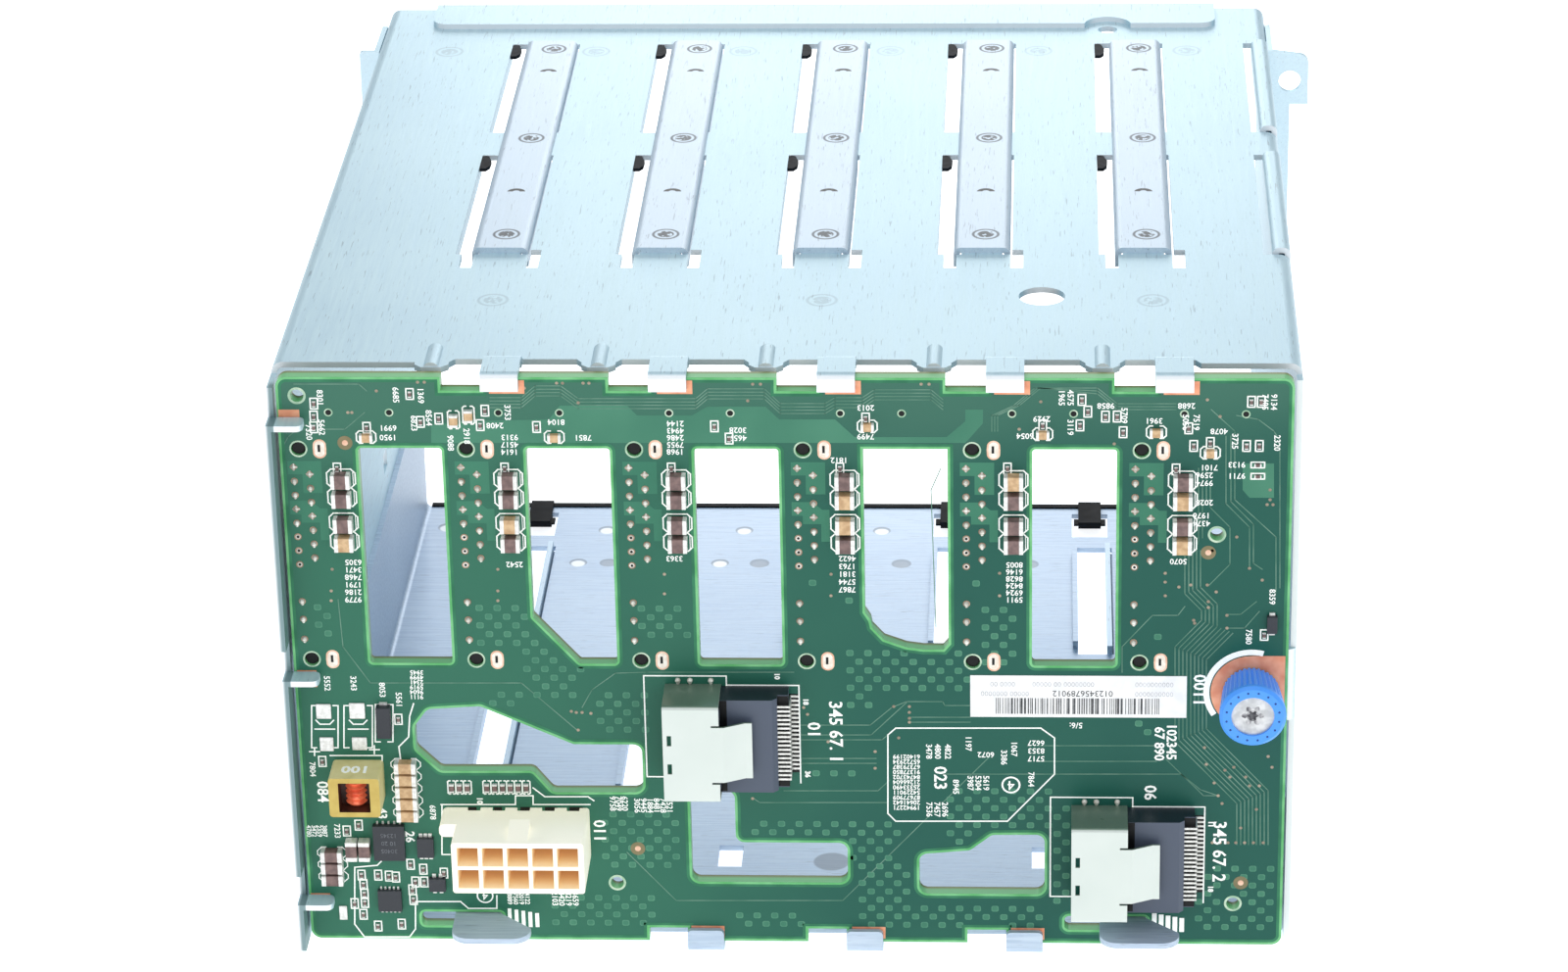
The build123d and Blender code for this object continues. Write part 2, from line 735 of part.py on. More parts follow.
def power_header_pins():
    """Ten square pins, moulded through the housing and soldered in the board."""
    half = pin_side / 2
    return Compound(children=[block(x - half, x + half, pin_front, pin_end, z - half, z + half)
                              for x, z in pin_centres()])


def thumbscrew_knob():
    """Fluted plastic knob whose skirt covers the ferrule."""
    x, z = screw_place
    shoulder = knob_front + flute_start
    side = make_face(Polyline((0, knob_front), (knob_radius - 0.5, knob_front), (knob_radius, knob_front + 0.5),
                              (knob_radius, shoulder), (knob_rear_radius, knob_rear), (0, knob_rear), close=True))
    knob = Pos(x, 0, z) * revolve(side, axis=Axis.Y)
    lean = degrees(atan2(knob_radius - knob_rear_radius, knob_rear - shoulder))
    groove = Pos(0, knob_radius) * Rot(0, 45, 0) * Box(flute_side, 2 * knob_radius, flute_side)
    groove = Pos(knob_radius, shoulder) * Rot(0, 0, lean) * groove
    knob -= [Pos(x, 0, z) * Rot(0, 360 * index / knob_flutes, 0) * groove for index in range(knob_flutes)]
    knob -= rod(x, z, skirt_radius, knob_rear - skirt_depth, knob_rear)
    head_rear = knob_front + head_recess + head_thickness
    knob -= rod(x, z, head_radius, knob_front, head_rear)
    return knob - rod(x, z, thread_radius, head_rear, knob_rear)


def thumbscrew_screw():
    """Screw moulded into the knob, with a star recess in its head and a turned neck for the washer."""
    x, z = screw_place
    head_front = knob_front + head_recess
    head_rear = head_front + head_thickness
    screw = rod(x, z, head_radius, head_front, head_rear)
    screw += rod(x, z, thread_radius, head_rear, neck_front)
    screw += rod(x, z, neck_radius, neck_front, neck_rear)
    screw += rod(x, z, thread_radius, neck_rear, thread_end)
    screw = chamfer(screw.edges().filter_by(GeomType.CIRCLE).group_by(Axis.Y)[-1], 0.5)
    for turn in (0, 60, 120):
        bar = RectangleRounded(2 * drive_recess_radius, drive_recess_radius * 0.7, 0.3)
        screw -= along_y(Pos(x, z) * Rot(0, 0, turn) * bar, head_front, head_front + drive_recess_depth)
    return screw


def thumbscrew_ferrule():
    """Turned sleeve pressed into the board, its chamber holding the retaining washer captive."""
    x, z = screw_place
    ferrule = rod(x, z, ferrule_radius, ferrule_front, 0) + rod(x, z, ferrule_barrel, 0, board_thickness)
    ferrule -= rod(x, z, washer_radius + running_gap, ferrule_front + ferrule_lip, -0.6)
    return ferrule - rod(x, z, thread_radius + running_gap, ferrule_front, board_thickness)


def retaining_washer():
    """Washer snapped into the screw's neck, which stops the screw from leaving the ferrule."""
    x, z = screw_place
    middle = (neck_front + neck_rear) / 2
    ring = Circle(washer_radius) - Circle(washer_bore)
    return along_y(Pos(x, z) * ring, middle - washer_thickness / 2, middle + washer_thickness / 2)


def inductor_core():
    """Moulded inductor core with a window over its coil."""
    right = inductor_left + inductor_width
    low = inductor_top - inductor_tall
    core = block(inductor_left, right, -inductor_height, 0, low, inductor_top)
    core = fillet(core.edges().filter_by(Axis.Y), 0.6)
    x = (inductor_left + right) / 2
    z = (low + inductor_top) / 2
    return core - block(x - coil_window_width / 2, x + coil_window_width / 2,
                        -inductor_height, -inductor_height + coil_window_depth,
                        z - coil_window_tall / 2, z + coil_window_tall / 2)


def inductor_coil():
    """Copper winding seen in the core's window."""
    x = inductor_left + inductor_width / 2
    bottom = inductor_top - inductor_tall / 2 - coil_turns * wire_radius
    profile = [(0, bottom)]
    for turn in range(coil_turns):
        start = bottom + 2 * turn * wire_radius
        profile += [(coil_radius - wire_radius, start), (coil_radius, start + wire_radius)]
    top = bottom + 2 * coil_turns * wire_radius
    profile += [(coil_radius - wire_radius, top), (0, top)]
    y = -inductor_height + coil_window_depth
    coil = revolve(Plane.XZ * make_face(Polyline(*profile, close=True)), axis=Axis.Z)
    return Pos(x, y, 0) * coil & block(x - coil_radius, x + coil_radius, -inductor_height, y, bottom, top)


def on_board(x, z, width, tall, height):
    """Component body standing on the board's outer face, centred on x and z."""
    return block(x - width / 2, x + width / 2, -height, 0, z - tall / 2, z + tall / 2)


def bay_capacitors():
    """Four chip capacitors beside each drive connector."""
    return Compound(children=[on_board(cap_column + bay * bay_pitch, z, cap_length, cap_width, cap_height)
                              for bay in range(bay_count) for z in cap_rows])


def input_capacitors():
    """Two stacks of chip capacitors at the power input, and two standing upright beside the lower one."""
    blocks = [on_board(x, z - index * stack_pitch, stack_length, stack_width, stack_height)
              for x, z, count in stack_tops for index in range(count)]
    blocks += [on_board(x, z, stack_width, stack_length, stack_height) for x, z in upright_caps]
    return Compound(children=blocks)


def save(name, shape):
    """Write one piece in the part frame."""
    export_step(datum_to_frame * shape, f"parts/{name}.step")


os.makedirs("parts", exist_ok=True)
save("cage_cover", cage_cover())
save("floor_tray", floor_tray())
for bay in range(bay_count - 1):
    save(f"top_guide_rail_{bay + 1}", guide_rail(bay))
    save(f"floor_guide_rail_{bay + 1}", floor_rail(bay))
save("front_trim_strip", front_trim_strip())
save("right_ear_bracket", right_ear_bracket())
save("left_bracket", left_bracket())
save("backplane_board", backplane_board())
for bay in range(bay_count):
    save(f"drive_connector_{bay + 1}", drive_connector(bay))
for letter, (left, centre) in zip("ab", port_places):
    save(f"sas_port_{letter}_shell", port_shell(left, centre))
    save(f"sas_port_{letter}_body", port_body(left, centre))
    save(f"sas_port_{letter}_contacts", port_contacts(left, centre))
save("power_header_housing", power_header_housing())
save("power_header_pins", power_header_pins())
save("thumbscrew_knob", thumbscrew_knob())
save("thumbscrew_screw", thumbscrew_screw())
save("thumbscrew_ferrule", thumbscrew_ferrule())
save("retaining_washer", retaining_washer())
save("inductor_core", inductor_core())
save("inductor_coil", inductor_coil())
save("bay_capacitors", bay_capacitors())
save("input_capacitors", input_capacitors())
save("control_chips", Compound(children=[on_board(*place) for place in chip_places]))
save("diodes", Compound(children=[on_board(*place) for place in diode_places]))
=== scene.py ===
import bmesh
import bpy
import random
from math import atan2, cos, pi, radians, sin
from mathutils import Matrix, Vector
from mathutils.bvhtree import BVHTree


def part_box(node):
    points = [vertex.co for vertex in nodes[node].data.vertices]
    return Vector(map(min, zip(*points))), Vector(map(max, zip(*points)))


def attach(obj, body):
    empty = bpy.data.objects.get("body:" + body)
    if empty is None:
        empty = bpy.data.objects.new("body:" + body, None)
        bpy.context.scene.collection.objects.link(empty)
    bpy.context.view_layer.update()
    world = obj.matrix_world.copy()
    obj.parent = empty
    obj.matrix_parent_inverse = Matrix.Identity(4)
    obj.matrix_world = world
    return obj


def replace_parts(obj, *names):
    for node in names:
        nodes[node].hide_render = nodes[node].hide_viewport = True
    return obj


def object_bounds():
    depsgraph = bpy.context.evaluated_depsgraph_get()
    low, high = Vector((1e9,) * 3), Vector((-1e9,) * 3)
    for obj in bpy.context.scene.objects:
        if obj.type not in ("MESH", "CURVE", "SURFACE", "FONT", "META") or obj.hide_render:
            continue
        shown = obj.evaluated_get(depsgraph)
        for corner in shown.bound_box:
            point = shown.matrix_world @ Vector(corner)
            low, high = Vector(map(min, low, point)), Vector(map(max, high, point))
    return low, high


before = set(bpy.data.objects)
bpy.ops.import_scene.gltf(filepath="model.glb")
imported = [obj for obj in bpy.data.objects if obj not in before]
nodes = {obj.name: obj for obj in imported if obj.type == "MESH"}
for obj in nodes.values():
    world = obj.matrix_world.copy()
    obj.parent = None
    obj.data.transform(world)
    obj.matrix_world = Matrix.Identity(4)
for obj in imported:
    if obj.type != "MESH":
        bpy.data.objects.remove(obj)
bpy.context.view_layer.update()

# Camera. A long lens stands behind the cage, a quarter of a right angle above it and almost square
# to the board. Its place and turns were fitted to the cage's straight edges in the photograph.
MM = 0.001
board_low, board_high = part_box("backplane_board")
first_column = 3.14
first_row = 92.3
first_hole = Vector((board_low.x + first_column * MM, board_low.y, board_low.z + first_row * MM))
photo_width = 1600
photo_height = 992
focal_pixels = 5221.6
axis_pixel = (799.5, 490.4)
sensor_width = 36.0
camera_place = first_hole + Vector((122.17, -757.95, 347.85)) * MM
camera_pitch = 0.43565
camera_yaw = -0.05616
camera_roll = -0.02114
forward = Vector(
    (sin(camera_yaw) * cos(camera_pitch), cos(camera_yaw) * cos(camera_pitch), -sin(camera_pitch)))
level_right = Vector((cos(camera_yaw), -sin(camera_yaw), 0))
level_up = level_right.cross(forward)
right = cos(camera_roll) * level_right + sin(camera_roll) * level_up
up = cos(camera_roll) * level_up - sin(camera_roll) * level_right

lens = bpy.data.cameras.new("camera")
lens.sensor_width = sensor_width
lens.lens = focal_pixels * sensor_width / photo_width
lens.shift_x = (photo_width / 2 - axis_pixel[0]) / photo_width
lens.shift_y = (axis_pixel[1] - photo_height / 2) / photo_width
camera = bpy.data.objects.new("camera", lens)
camera.matrix_world = Matrix.Translation(camera_place) @ Matrix((right, up, -forward)).transposed().to_4x4()
bpy.context.scene.collection.objects.link(camera)
bpy.context.scene.camera = camera


# Sheet steel of cover, tray, rails and brackets. Cold-rolled sheet, zinc plated and passivated to a pale
# blue, with fine rolling lines and scratches. The clinch joints, pressed dimples and slits are drawn in
# colour: painted shade in their grooves, hollows and openings, and painted highlights in the dimples.
class Shade:
    """A shader socket that takes part in Python expressions."""

    def __init__(self, tree, socket):
        self.tree = tree
        self.socket = socket

    def node(self, kind, settings=(), inputs=(), output=0):
        """A node of a kind: its settings are set first, then the values or links of its sockets."""
        made = self.tree.nodes.new(kind)
        for name, value in dict(settings).items():
            setattr(made, name, value)
        for name, value in dict(inputs).items():
            if isinstance(value, Shade):
                self.tree.links.new(value.socket, made.inputs[name])
            else:
                made.inputs[name].default_value = value
        return Shade(self.tree, made.outputs[output])

    def maths(self, operation, first, second=0.0):
        return self.node("ShaderNodeMath", {"operation": operation}, {0: first, 1: second})

    def __add__(self, other):
        return self.maths("ADD", self, other)

    def __sub__(self, other):
        return self.maths("SUBTRACT", self, other)

    def __rsub__(self, other):
        return self.maths("SUBTRACT", other, self)

    def __mul__(self, other):
        return self.maths("MULTIPLY", self, other)

    __radd__ = __add__
    __rmul__ = __mul__

    def between(self, low, high):
        """0 below low, 1 above high, smooth between."""
        return self.node(
            "ShaderNodeMapRange", {"interpolation_type": "SMOOTHSTEP"},
            {"Value": self, "From Min": low, "From Max": high})

    def blend(self, low_colour, high_colour):
        """Colour from low_colour to high_colour as this goes from 0 to 1."""
        return self.node(
            "ShaderNodeMix", {"data_type": "RGBA"},
            {0: self, 6: as_colour(low_colour), 7: as_colour(high_colour)}, 2)

    def noise(self, scale, detail=3.0, stretch=(1, 1, 1)):
        """Noise over this point, stretched along the axes."""
        stretched = self.node("ShaderNodeMapping", {}, {"Vector": self, "Scale": stretch})
        return self.node("ShaderNodeTexNoise", {}, {"Vector": stretched, "Scale": scale, "Detail": detail})

    def bump(self, strength, distance):
        """Normal of a surface raised by this."""
        return self.node("ShaderNodeBump", {}, {"Height": self, "Strength": strength, "Distance": distance})

    def axis(self, index):
        """One coordinate of this point."""
        return self.node("ShaderNodeSeparateXYZ", {}, {0: self}, index)

    def facing(self, index):
        """One component of the direction that the surface faces."""
        return self.node("ShaderNodeNewGeometry", {}, {}, 1).axis(index)

    def beyond(self, y):
        """Millimetres along Y past a depth y behind the board's face."""
        return (self.axis(1) - (first_hole.y + y * MM)) * 1000.0

    def spot(self, x, y, pitch):
        """Millimetres from an upright line at x and y, or from the nearest of a row of them a pitch apart."""
        across = (self.axis(0) - (first_hole.x + x * MM)) * 1000.0
        if pitch:
            across = self.maths("FLOORED_MODULO", across + pitch / 2, pitch) - pitch / 2
        along = self.beyond(y)
        return self.maths("SQRT", across * across + along * along)


def as_colour(value):
    """A colour socket's value: a link stays, and a screen's colour, 0 to 255, is made linear."""
    if isinstance(value, Shade):
        return value
    return (
        *(((part / 255 + 0.055) / 1.055) ** 2.4 if part > 10 else part / 255 / 12.92 for part in value), 1.0
    )


def finish(name, colour, roughness, metallic=0.0, vary=None, **fixed):
    """Material: vary takes the Object coordinates and returns what changes over the surface, by socket."""
    made = bpy.data.materials.new(name)
    made.use_nodes = True
    tree = made.node_tree
    shader = tree.nodes["Principled BSDF"]
    values = {"Base Color": as_colour(colour), "Roughness": roughness, "Metallic": metallic}
    for socket, value in (values | fixed).items():
        shader.inputs[socket].default_value = value
    if vary:
        point = Shade(tree, tree.nodes.new("ShaderNodeTexCoord").outputs["Object"])
        for socket, value in vary(point).items():
            tree.links.new(value.socket, shader.inputs[socket])
    return made


def mottled(name, low_colour, high_colour, roughness, metallic=0.0, scale=500.0, **fixed):
    """Material whose colour wanders a little between two."""
    return finish(
        name, high_colour, roughness, metallic,
        lambda point: {
            "Base Color": point.noise(scale, 2.0).between(0.3, 0.7).blend(low_colour, high_colour)}, **fixed
    )


def coat(material, *names):
    """Gives CAD nodes one material."""
    for name in names:
        nodes[name].data.materials.clear()
        nodes[name].data.materials.append(material)


# Grey of the scratches, also used as painted shade in clinch ring grooves and dimple hollows.
scratch_and_shade_grey = (58, 66, 76)
lump_dark = (14, 18, 24)
# Painted shade on the left wall beside the board.
shade_green = (104, 136, 140)
# Painted highlight in the dimples, and painted light on faces that look along -Y.
painted_highlight_white = (250, 252, 255)


def plated_sheet(pale, blue, grain, rings=(), dents=(), slits=(), painted_light=0.0):
    """Passivation clouds, rolling lines and scratches, with painted shade and painted highlights for the
    marks; the last argument sets the strength of painted light on faces that look along -Y and of painted
    shade on the left wall beside the board. Marks are x, y, radius, pitch, strength.
    """
    def vary(point):
        cloud = point.noise(18.0, 4.0)
        lines = point.noise(260.0, 3.0, grain)
        scratch = point.noise(600.0, 2.0, grain).between(0.64, 0.72)
        colour = (cloud * 0.4 + lines * 0.6).between(0.3, 0.7).blend(blue, pale)
        colour = (scratch * 0.35).blend(colour, scratch_and_shade_grey)
        for x, y, radius, pitch, strength in rings:
            away = point.spot(x, y, pitch)
            # The dark outline of each clinch ring is painted shade in its groove.
            edge = away.between(0.78 * radius, 0.9 * radius) - away.between(0.97 * radius, 1.1 * radius)
            lump = 1 - away.between(0.55 * radius, 0.68 * radius)
            colour = (edge * strength).blend(colour, scratch_and_shade_grey)
            colour = (
                lump * point.noise(1300.0, 1.0).between(0.36, 0.46) * strength).blend(colour, lump_dark)
        for x, y, radius, pitch, strength in dents:
            # Each dimple gets painted shade in its hollow and a painted highlight off its centre.
            dimple_shade = 1 - point.spot(x, y, pitch).between(0.85 * radius, radius)
            dimple_highlight = 1 - point.spot(x, y - 0.25 * radius, pitch).between(0.6 * radius, 0.85 * radius)
            colour = (dimple_shade * 0.5).blend(colour, scratch_and_shade_grey)
            colour = (dimple_highlight * strength).blend(colour, painted_highlight_white)
        for x, y, radius, pitch, strength in slits:
            away = point.spot(x, y, pitch)
            # Painted shade in the far half of each slit.
            band = away.between(0.35 * radius, 0.45 * radius) - away.between(0.95 * radius, 1.05 * radius)
            colour = (band * point.beyond(y).between(0.0, 0.3) * strength).blend(colour, slit_shade_dark)
        if painted_light:
            # Painted light: faces that look along -Y are lightened towards white, and a strip of the left
            # wall beside the board gets painted shade.
            facing = (0 - point.facing(1)).between(0.5, 0.9)
            colour = (facing * painted_light).blend(colour, painted_highlight_white)
            across = (point.axis(0) - first_hole.x) * 1000.0
            edge = across.between(-4.7, -4.1) - across.between(-3.3, -3.1)
            colour = (edge * (1 - point.beyond(0.0).between(0.5, 3.0)) * painted_light).blend(colour, shade_green)
        return {
            "Base Color": colour,
            "Roughness": lines * 0.16 + 0.36,
            "Normal": lines.bump(0.08, 0.0002),
        }
    return vary


# Painted shade in the rails' slits.
slit_shade_dark = (6, 7, 9)
steel_pale = (207, 234, 243)
steel_blue = (192, 221, 234)
cover_steel = finish("cover_steel", steel_pale, 0.4, 0.3, plated_sheet(
    steel_pale, steel_blue, (6, 0.35, 6),
    rings=[(9.25, 152.5, 2.6, 27.9, 0.22), (29.45, 31.9, 2.6, 55.4, 0.22)], painted_light=0.9,
))
tray_steel = finish(
    "tray_steel", steel_pale, 0.4, 0.3,
    plated_sheet(
        (206, 220, 236), (176, 194, 216), (0.35, 6, 6),
        dents=[
            (34.8, 164, 1.9, 27.5, 0.9), (2.6, 165, 2.1, 0, 0.9), (30.2, 149, 1.9, 0, 0.9),
            (58.3, 149, 1.9, 0, 0.9), (36.2, 149, 1.9, 0, 0.1), (66.1, 149, 2.1, 0, 0.1),
            (94.1, 149, 2.1, 0, 0.1), (119.2, 149, 2.1, 0, 0.1), (85, 29, 3.4, 0, 0)]))
rail_steel = finish("rail_steel", steel_pale, 0.4, 0.3, plated_sheet(
    (214, 230, 242), (200, 218, 234), (6, 0.35, 6),
    rings=[(29.3, 151.2, 2.3, 27.6, 0.9), (29.3, 104.6, 2.3, 27.6, 0.9), (29.2, 58.7, 2.3, 27.6, 0.9)],
    slits=[(29.3, 138.8, 1.6, 27.6, 1.0), (29.0, 78.4, 1.6, 27.6, 1.0)],
))
rail_count = 5
coat(cover_steel, "cage_cover")
bracket_steel = finish(
    "bracket_steel", steel_pale, 0.4, 0.3,
    plated_sheet(steel_pale, steel_blue, (6, 0.35, 6), painted_light=0.35))
coat(bracket_steel, "right_ear_bracket", "left_bracket")
coat(tray_steel, "floor_tray")
for index in range(1, rail_count + 1):
    coat(rail_steel, f"top_guide_rail_{index}", f"floor_guide_rail_{index}")


# Backplane board. Glass-filled laminate with green solder mask over copper planes. Every routed edge
# shows the paler laminate, so the board has a light green rim.
bay_pitch = 27.6
bay_count = 6


def at(x, z, height=0.0):
    """Point in millimetres from the first locating hole on the board's face, height towards the camera."""
    return first_hole + Vector((x, -height, z)) * MM


def seen(pixel, height=0.0):
    """Place on the board as at() takes it, under a pixel of the photograph at a height over the face."""
    ray = forward * focal_pixels + right * (pixel[0] - axis_pixel[0]) + up * (axis_pixel[1] - pixel[1])
    place = camera_place + ray * ((first_hole.y - height * MM - camera_place.y) / ray.y)
    return (place.x - first_hole.x) / MM, (place.z - first_hole.z) / MM


mask_left = (50, 112, 90)
mask_right = (30, 91, 79)
mask_high = (66, 116, 98)
rim_green = (92, 178, 108)
rim_pale = (130, 204, 142)
laminate = (132, 138, 84)


def solder_mask(point):
    """Cloudy mask, darker to the right and paler at the top; the routed edges are light green, then olive."""
    cloud = (point.noise(34.0, 2.0) - 0.5) * 0.6
    across = ((point.axis(0) - board_low.x) * (1 / (board_high.x - board_low.x)) + cloud).between(0.1, 0.8)
    rise = (
        (point.axis(2) - board_low.z) * (1 / (board_high.z - board_low.z)) + cloud * 0.3).between(0.8, 1.0)
    face = (rise * 0.8).blend(across.blend(mask_left, mask_right), mask_high)
    side = point.beyond(0.0).between(1.2, 2.2).blend(rim_pale, laminate)
    facing = point.facing(1)
    return {"Base Color": (facing * facing).between(0.4, 0.6).blend(side, face),
            "Normal": point.noise(500.0, 1.0).bump(0.03, 0.0001)}


mask_gloss = {"Specular IOR Level": 0.22}
board_green = finish("board_green", mask_left, 0.36, 0.0, solder_mask, **mask_gloss)
coat(board_green, "backplane_board")


def keep(mesh, name, material, body="cage", smooth=False):
    """Turns a bmesh into a finished piece that rides on a body."""
    bmesh.ops.recalc_face_normals(mesh, faces=mesh.faces)
    data = bpy.data.meshes.new(name)
    mesh.to_mesh(data)
    mesh.free()
    data.materials.append(material)
    if smooth:
        data.shade_smooth()
    piece = bpy.data.objects.new(name, data)
    bpy.context.scene.collection.objects.link(piece)
    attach(piece, body)
    return piece


rim_width = 0.42
fade_width = 0.5
rim_height = 0.02
locating_drop = 38.66
tooling_holes = [(0.29, 9.53), (49.8, -81.1), (150.44, -15.06), (154.25, -84.34)]
round_holes = tooling_holes + [
    (bay * bay_pitch, z) for bay in range(bay_count) for z in (0, -locating_drop)]
face_copy = bmesh.new()
face_copy.from_mesh(nodes["backplane_board"].data)
bmesh.ops.remove_doubles(face_copy, verts=face_copy.verts, dist=0.001 * MM)
backs = [face for face in face_copy.faces if face.normal.y > -0.9]
bmesh.ops.delete(face_copy, geom=backs, context="FACES")
board_tree = BVHTree.FromBMesh(face_copy)
bmesh.ops.dissolve_limit(face_copy, angle_limit=radians(1), verts=face_copy.verts, edges=face_copy.edges)
outer = bmesh.ops.inset_region(
    face_copy, faces=face_copy.faces, thickness=rim_width * MM, use_boundary=True, use_even_offset=True
)["faces"]
within = [face for face in face_copy.faces if face not in outer]
inner = bmesh.ops.inset_region(
    face_copy, faces=within, thickness=fade_width * MM, use_boundary=True, use_even_offset=True)["faces"]
for face in face_copy.faces:
    face.material_index = 0
for number, ring in ((1, outer), (2, inner)):
    for face in ring:
        face.material_index = number
bmesh.ops.translate(face_copy, vec=Vector((0, -rim_height * MM, 0)), verts=face_copy.verts)


def off_holes(face):
    """Whether a face lies away from the round holes."""
    middle = face.calc_center_median()
    return all((middle - at(*hole)).length > 2.4 * MM for hole in round_holes)


def keep_ring(name, number, material):
    """One of the bands along the board's edges, from the copy of the board's face."""
    band = face_copy.copy()
    spare = [face for face in band.faces if face.material_index != number or not off_holes(face)]
    bmesh.ops.delete(band, geom=spare, context="FACES")
    for face in band.faces:
        face.material_index = 0
    keep(band, name, material)


keep_ring("board_rim", 1, mottled("rim_mask", rim_green, rim_pale, 0.4, 0.0, 240.0, **mask_gloss))
keep_ring(
    "board_rim_fade", 2, mottled("fade_mask", (44, 112, 82), (58, 132, 96), 0.4, 0.0, 240.0, **mask_gloss))
face_copy.free()


# Painted slot shadows. A thin dark piece lies in the far left corner of each slot of the top plate, painted
# shade where the slot shows dark.
slot_left = 21.0
slot_ends = (156.4, 98.6)
slot_shadow_low = 12.3
slot_shadow_high = 12.92
slot_shadow_outline = [
    (0.05, -6.2), (0.02, -0.3), (0.6, -0.05), (1.2, -0.3), (1.85, -2.6), (1.75, -5.0), (1.1, -6.2)
]
slot_shadows = bmesh.new()
for bay in range(bay_count - 1):
    for end in slot_ends:
        outline = [
            Vector((slot_left + bay * bay_pitch + x, end + y, slot_shadow_low)) * MM for x, y in slot_shadow_outline
        ]
        base = slot_shadows.faces.new([slot_shadows.verts.new(first_hole + corner) for corner in outline])
        top = bmesh.ops.extrude_face_region(slot_shadows, geom=[base])["geom"]
        bmesh.ops.translate(
            slot_shadows, vec=Vector((0, 0, (slot_shadow_high - slot_shadow_low) * MM)),
            verts=[part for part in top if isinstance(part, bmesh.types.BMVert)])
keep(
    slot_shadows, "slot_painted_shadows",
    mottled("slot_shadow_dark", (16, 18, 22), (40, 44, 50), 0.6, 0.0, 900.0, **{"Specular IOR Level": 0.1}))


# Copper under and beside the hooks. Bare plated pads on the board's face, which ground the board to
# the cage through the hooks; a round one with a straight top lies under the thumbscrew.
def add_block(mesh, centre, size, low, high, turn=0.0):
    """Block on the board's face: centre and size in millimetres, low and high above the face."""
    place = Matrix.Translation(at(*centre, (low + high) / 2)) @ Matrix.Rotation(-turn, 4, "Y")
    scale = Matrix.Diagonal((size[0] * MM, (high - low) * MM, size[1] * MM, 1))
    return bmesh.ops.create_cube(mesh, size=1.0, matrix=place @ scale)["verts"]


def add_patch(mesh, pixel, opposite, low, high):
    """Block on the board's face between two pixels of the photograph."""
    (x0, z0), (x1, z1) = seen(pixel), seen(opposite)
    return add_block(mesh, ((x0 + x1) / 2, (z0 + z1) / 2), (abs(x1 - x0), abs(z1 - z0)), low, high)


def ease(mesh, verts, radius, segments):
    """Rounds the edges that meet at the corners given, by a radius in millimetres."""
    edges = list(dict.fromkeys(edge for vert in verts for edge in vert.link_edges))
    bmesh.ops.bevel(
        mesh, geom=edges, offset=radius * MM, segments=segments, profile=0.5, affect="EDGES", material=-1)


def add_line(mesh, points, width, low, high, closed=False):
    """Line of square-ended runs on the board's face through points in millimetres."""
    ends = points[1:] + points[:1] if closed else points[1:]
    for (x0, z0), (x1, z1) in zip(points, ends):
        run = Vector((x1 - x0, z1 - z0))
        add_block(
            mesh, ((x0 + x1) / 2, (z0 + z1) / 2), (run.length + width, width), low, high,
            atan2(run.y, run.x))


def add_spun(mesh, centre, profile, steps=20, stretch=0.0):
    """Closed profile of (radius, height) turned about an axis square to the face, then stretched upright."""
    corners = [mesh.verts.new(at(centre[0] + radius, centre[1], height)) for radius, height in profile]
    edges = [mesh.edges.new((corner, corners[index - 1])) for index, corner in enumerate(corners)]
    before = set(mesh.verts) - set(corners)
    bmesh.ops.spin(
        mesh, geom=corners + edges, cent=at(*centre), axis=(0, 1, 0), angle=2 * pi, steps=steps,
        use_merge=True, use_duplicate=False)
    made = [vert for vert in mesh.verts if vert not in before]
    bmesh.ops.remove_doubles(mesh, verts=made, dist=0.002 * MM)
    made = [vert for vert in mesh.verts if vert not in before]
    middle = at(*centre).z
    for vert in made:
        if abs(vert.co.z - middle) > 0.02 * MM:
            vert.co.z += stretch * MM * (1 if vert.co.z > middle else -1)
    return made


def ring_profile(inner, outer, low, high):
    """Square section of a flat ring."""
    return [(inner, low), (inner, high), (outer, high), (outer, low)]


def disc_profile(radius, high):
    """Section of a flat disc on the face."""
    return [(0, 0), (0, high), (radius, high), (radius, 0)]


pad_copper = mottled("pad_copper", (236, 146, 108), (252, 178, 140), 0.4, 0.15, 420.0)
pad_height = 0.035
hook_pitch = 27.4
first_pad_pixel = (499, 401.7)
low_pad_pixels = ((705.4, 944.7), (869.6, 945.8), (1031.6, 947.0))
side_pad_pixels = (((283.7, 418), (306.3, 435.4)), ((303, 684), (324, 701)), ((317, 911.5), (338, 927.5)))
left, low = seen(first_pad_pixel)
pads = bmesh.new()
for index in range(5):
    shift = left + index * hook_pitch
    add_block(pads, (shift + 2.9, low + 0.5), (5.8, 1.0), 0, pad_height)
    add_block(pads, (shift + 5.15, low + 1.7), (1.3, 1.4), 0, pad_height)
for left, top in low_pad_pixels:
    add_patch(pads, (left, top), (left + 34, top + 5.7), 0, pad_height)
    add_patch(pads, (left + 27, top + 5.7), (left + 34, top + 12), 0, pad_height)
for pixel, opposite in side_pad_pixels:
    add_patch(pads, pixel, opposite, 0, pad_height)
screw_x, screw_z = 156.55, -44.05
pad_top = -37.34
pad_right = 162.1
for corner in add_spun(pads, (screw_x, screw_z), ring_profile(3.4, 6.7, 0, pad_height), 40):
    corner.co.x = min(corner.co.x, at(pad_right, 0).x)
add_block(
    pads, ((screw_x + pad_right) / 2, (pad_top + screw_z) / 2), (pad_right - screw_x, pad_top - screw_z), 0,
    0.8 * pad_height)
keep(pads, "ground_pads", pad_copper)


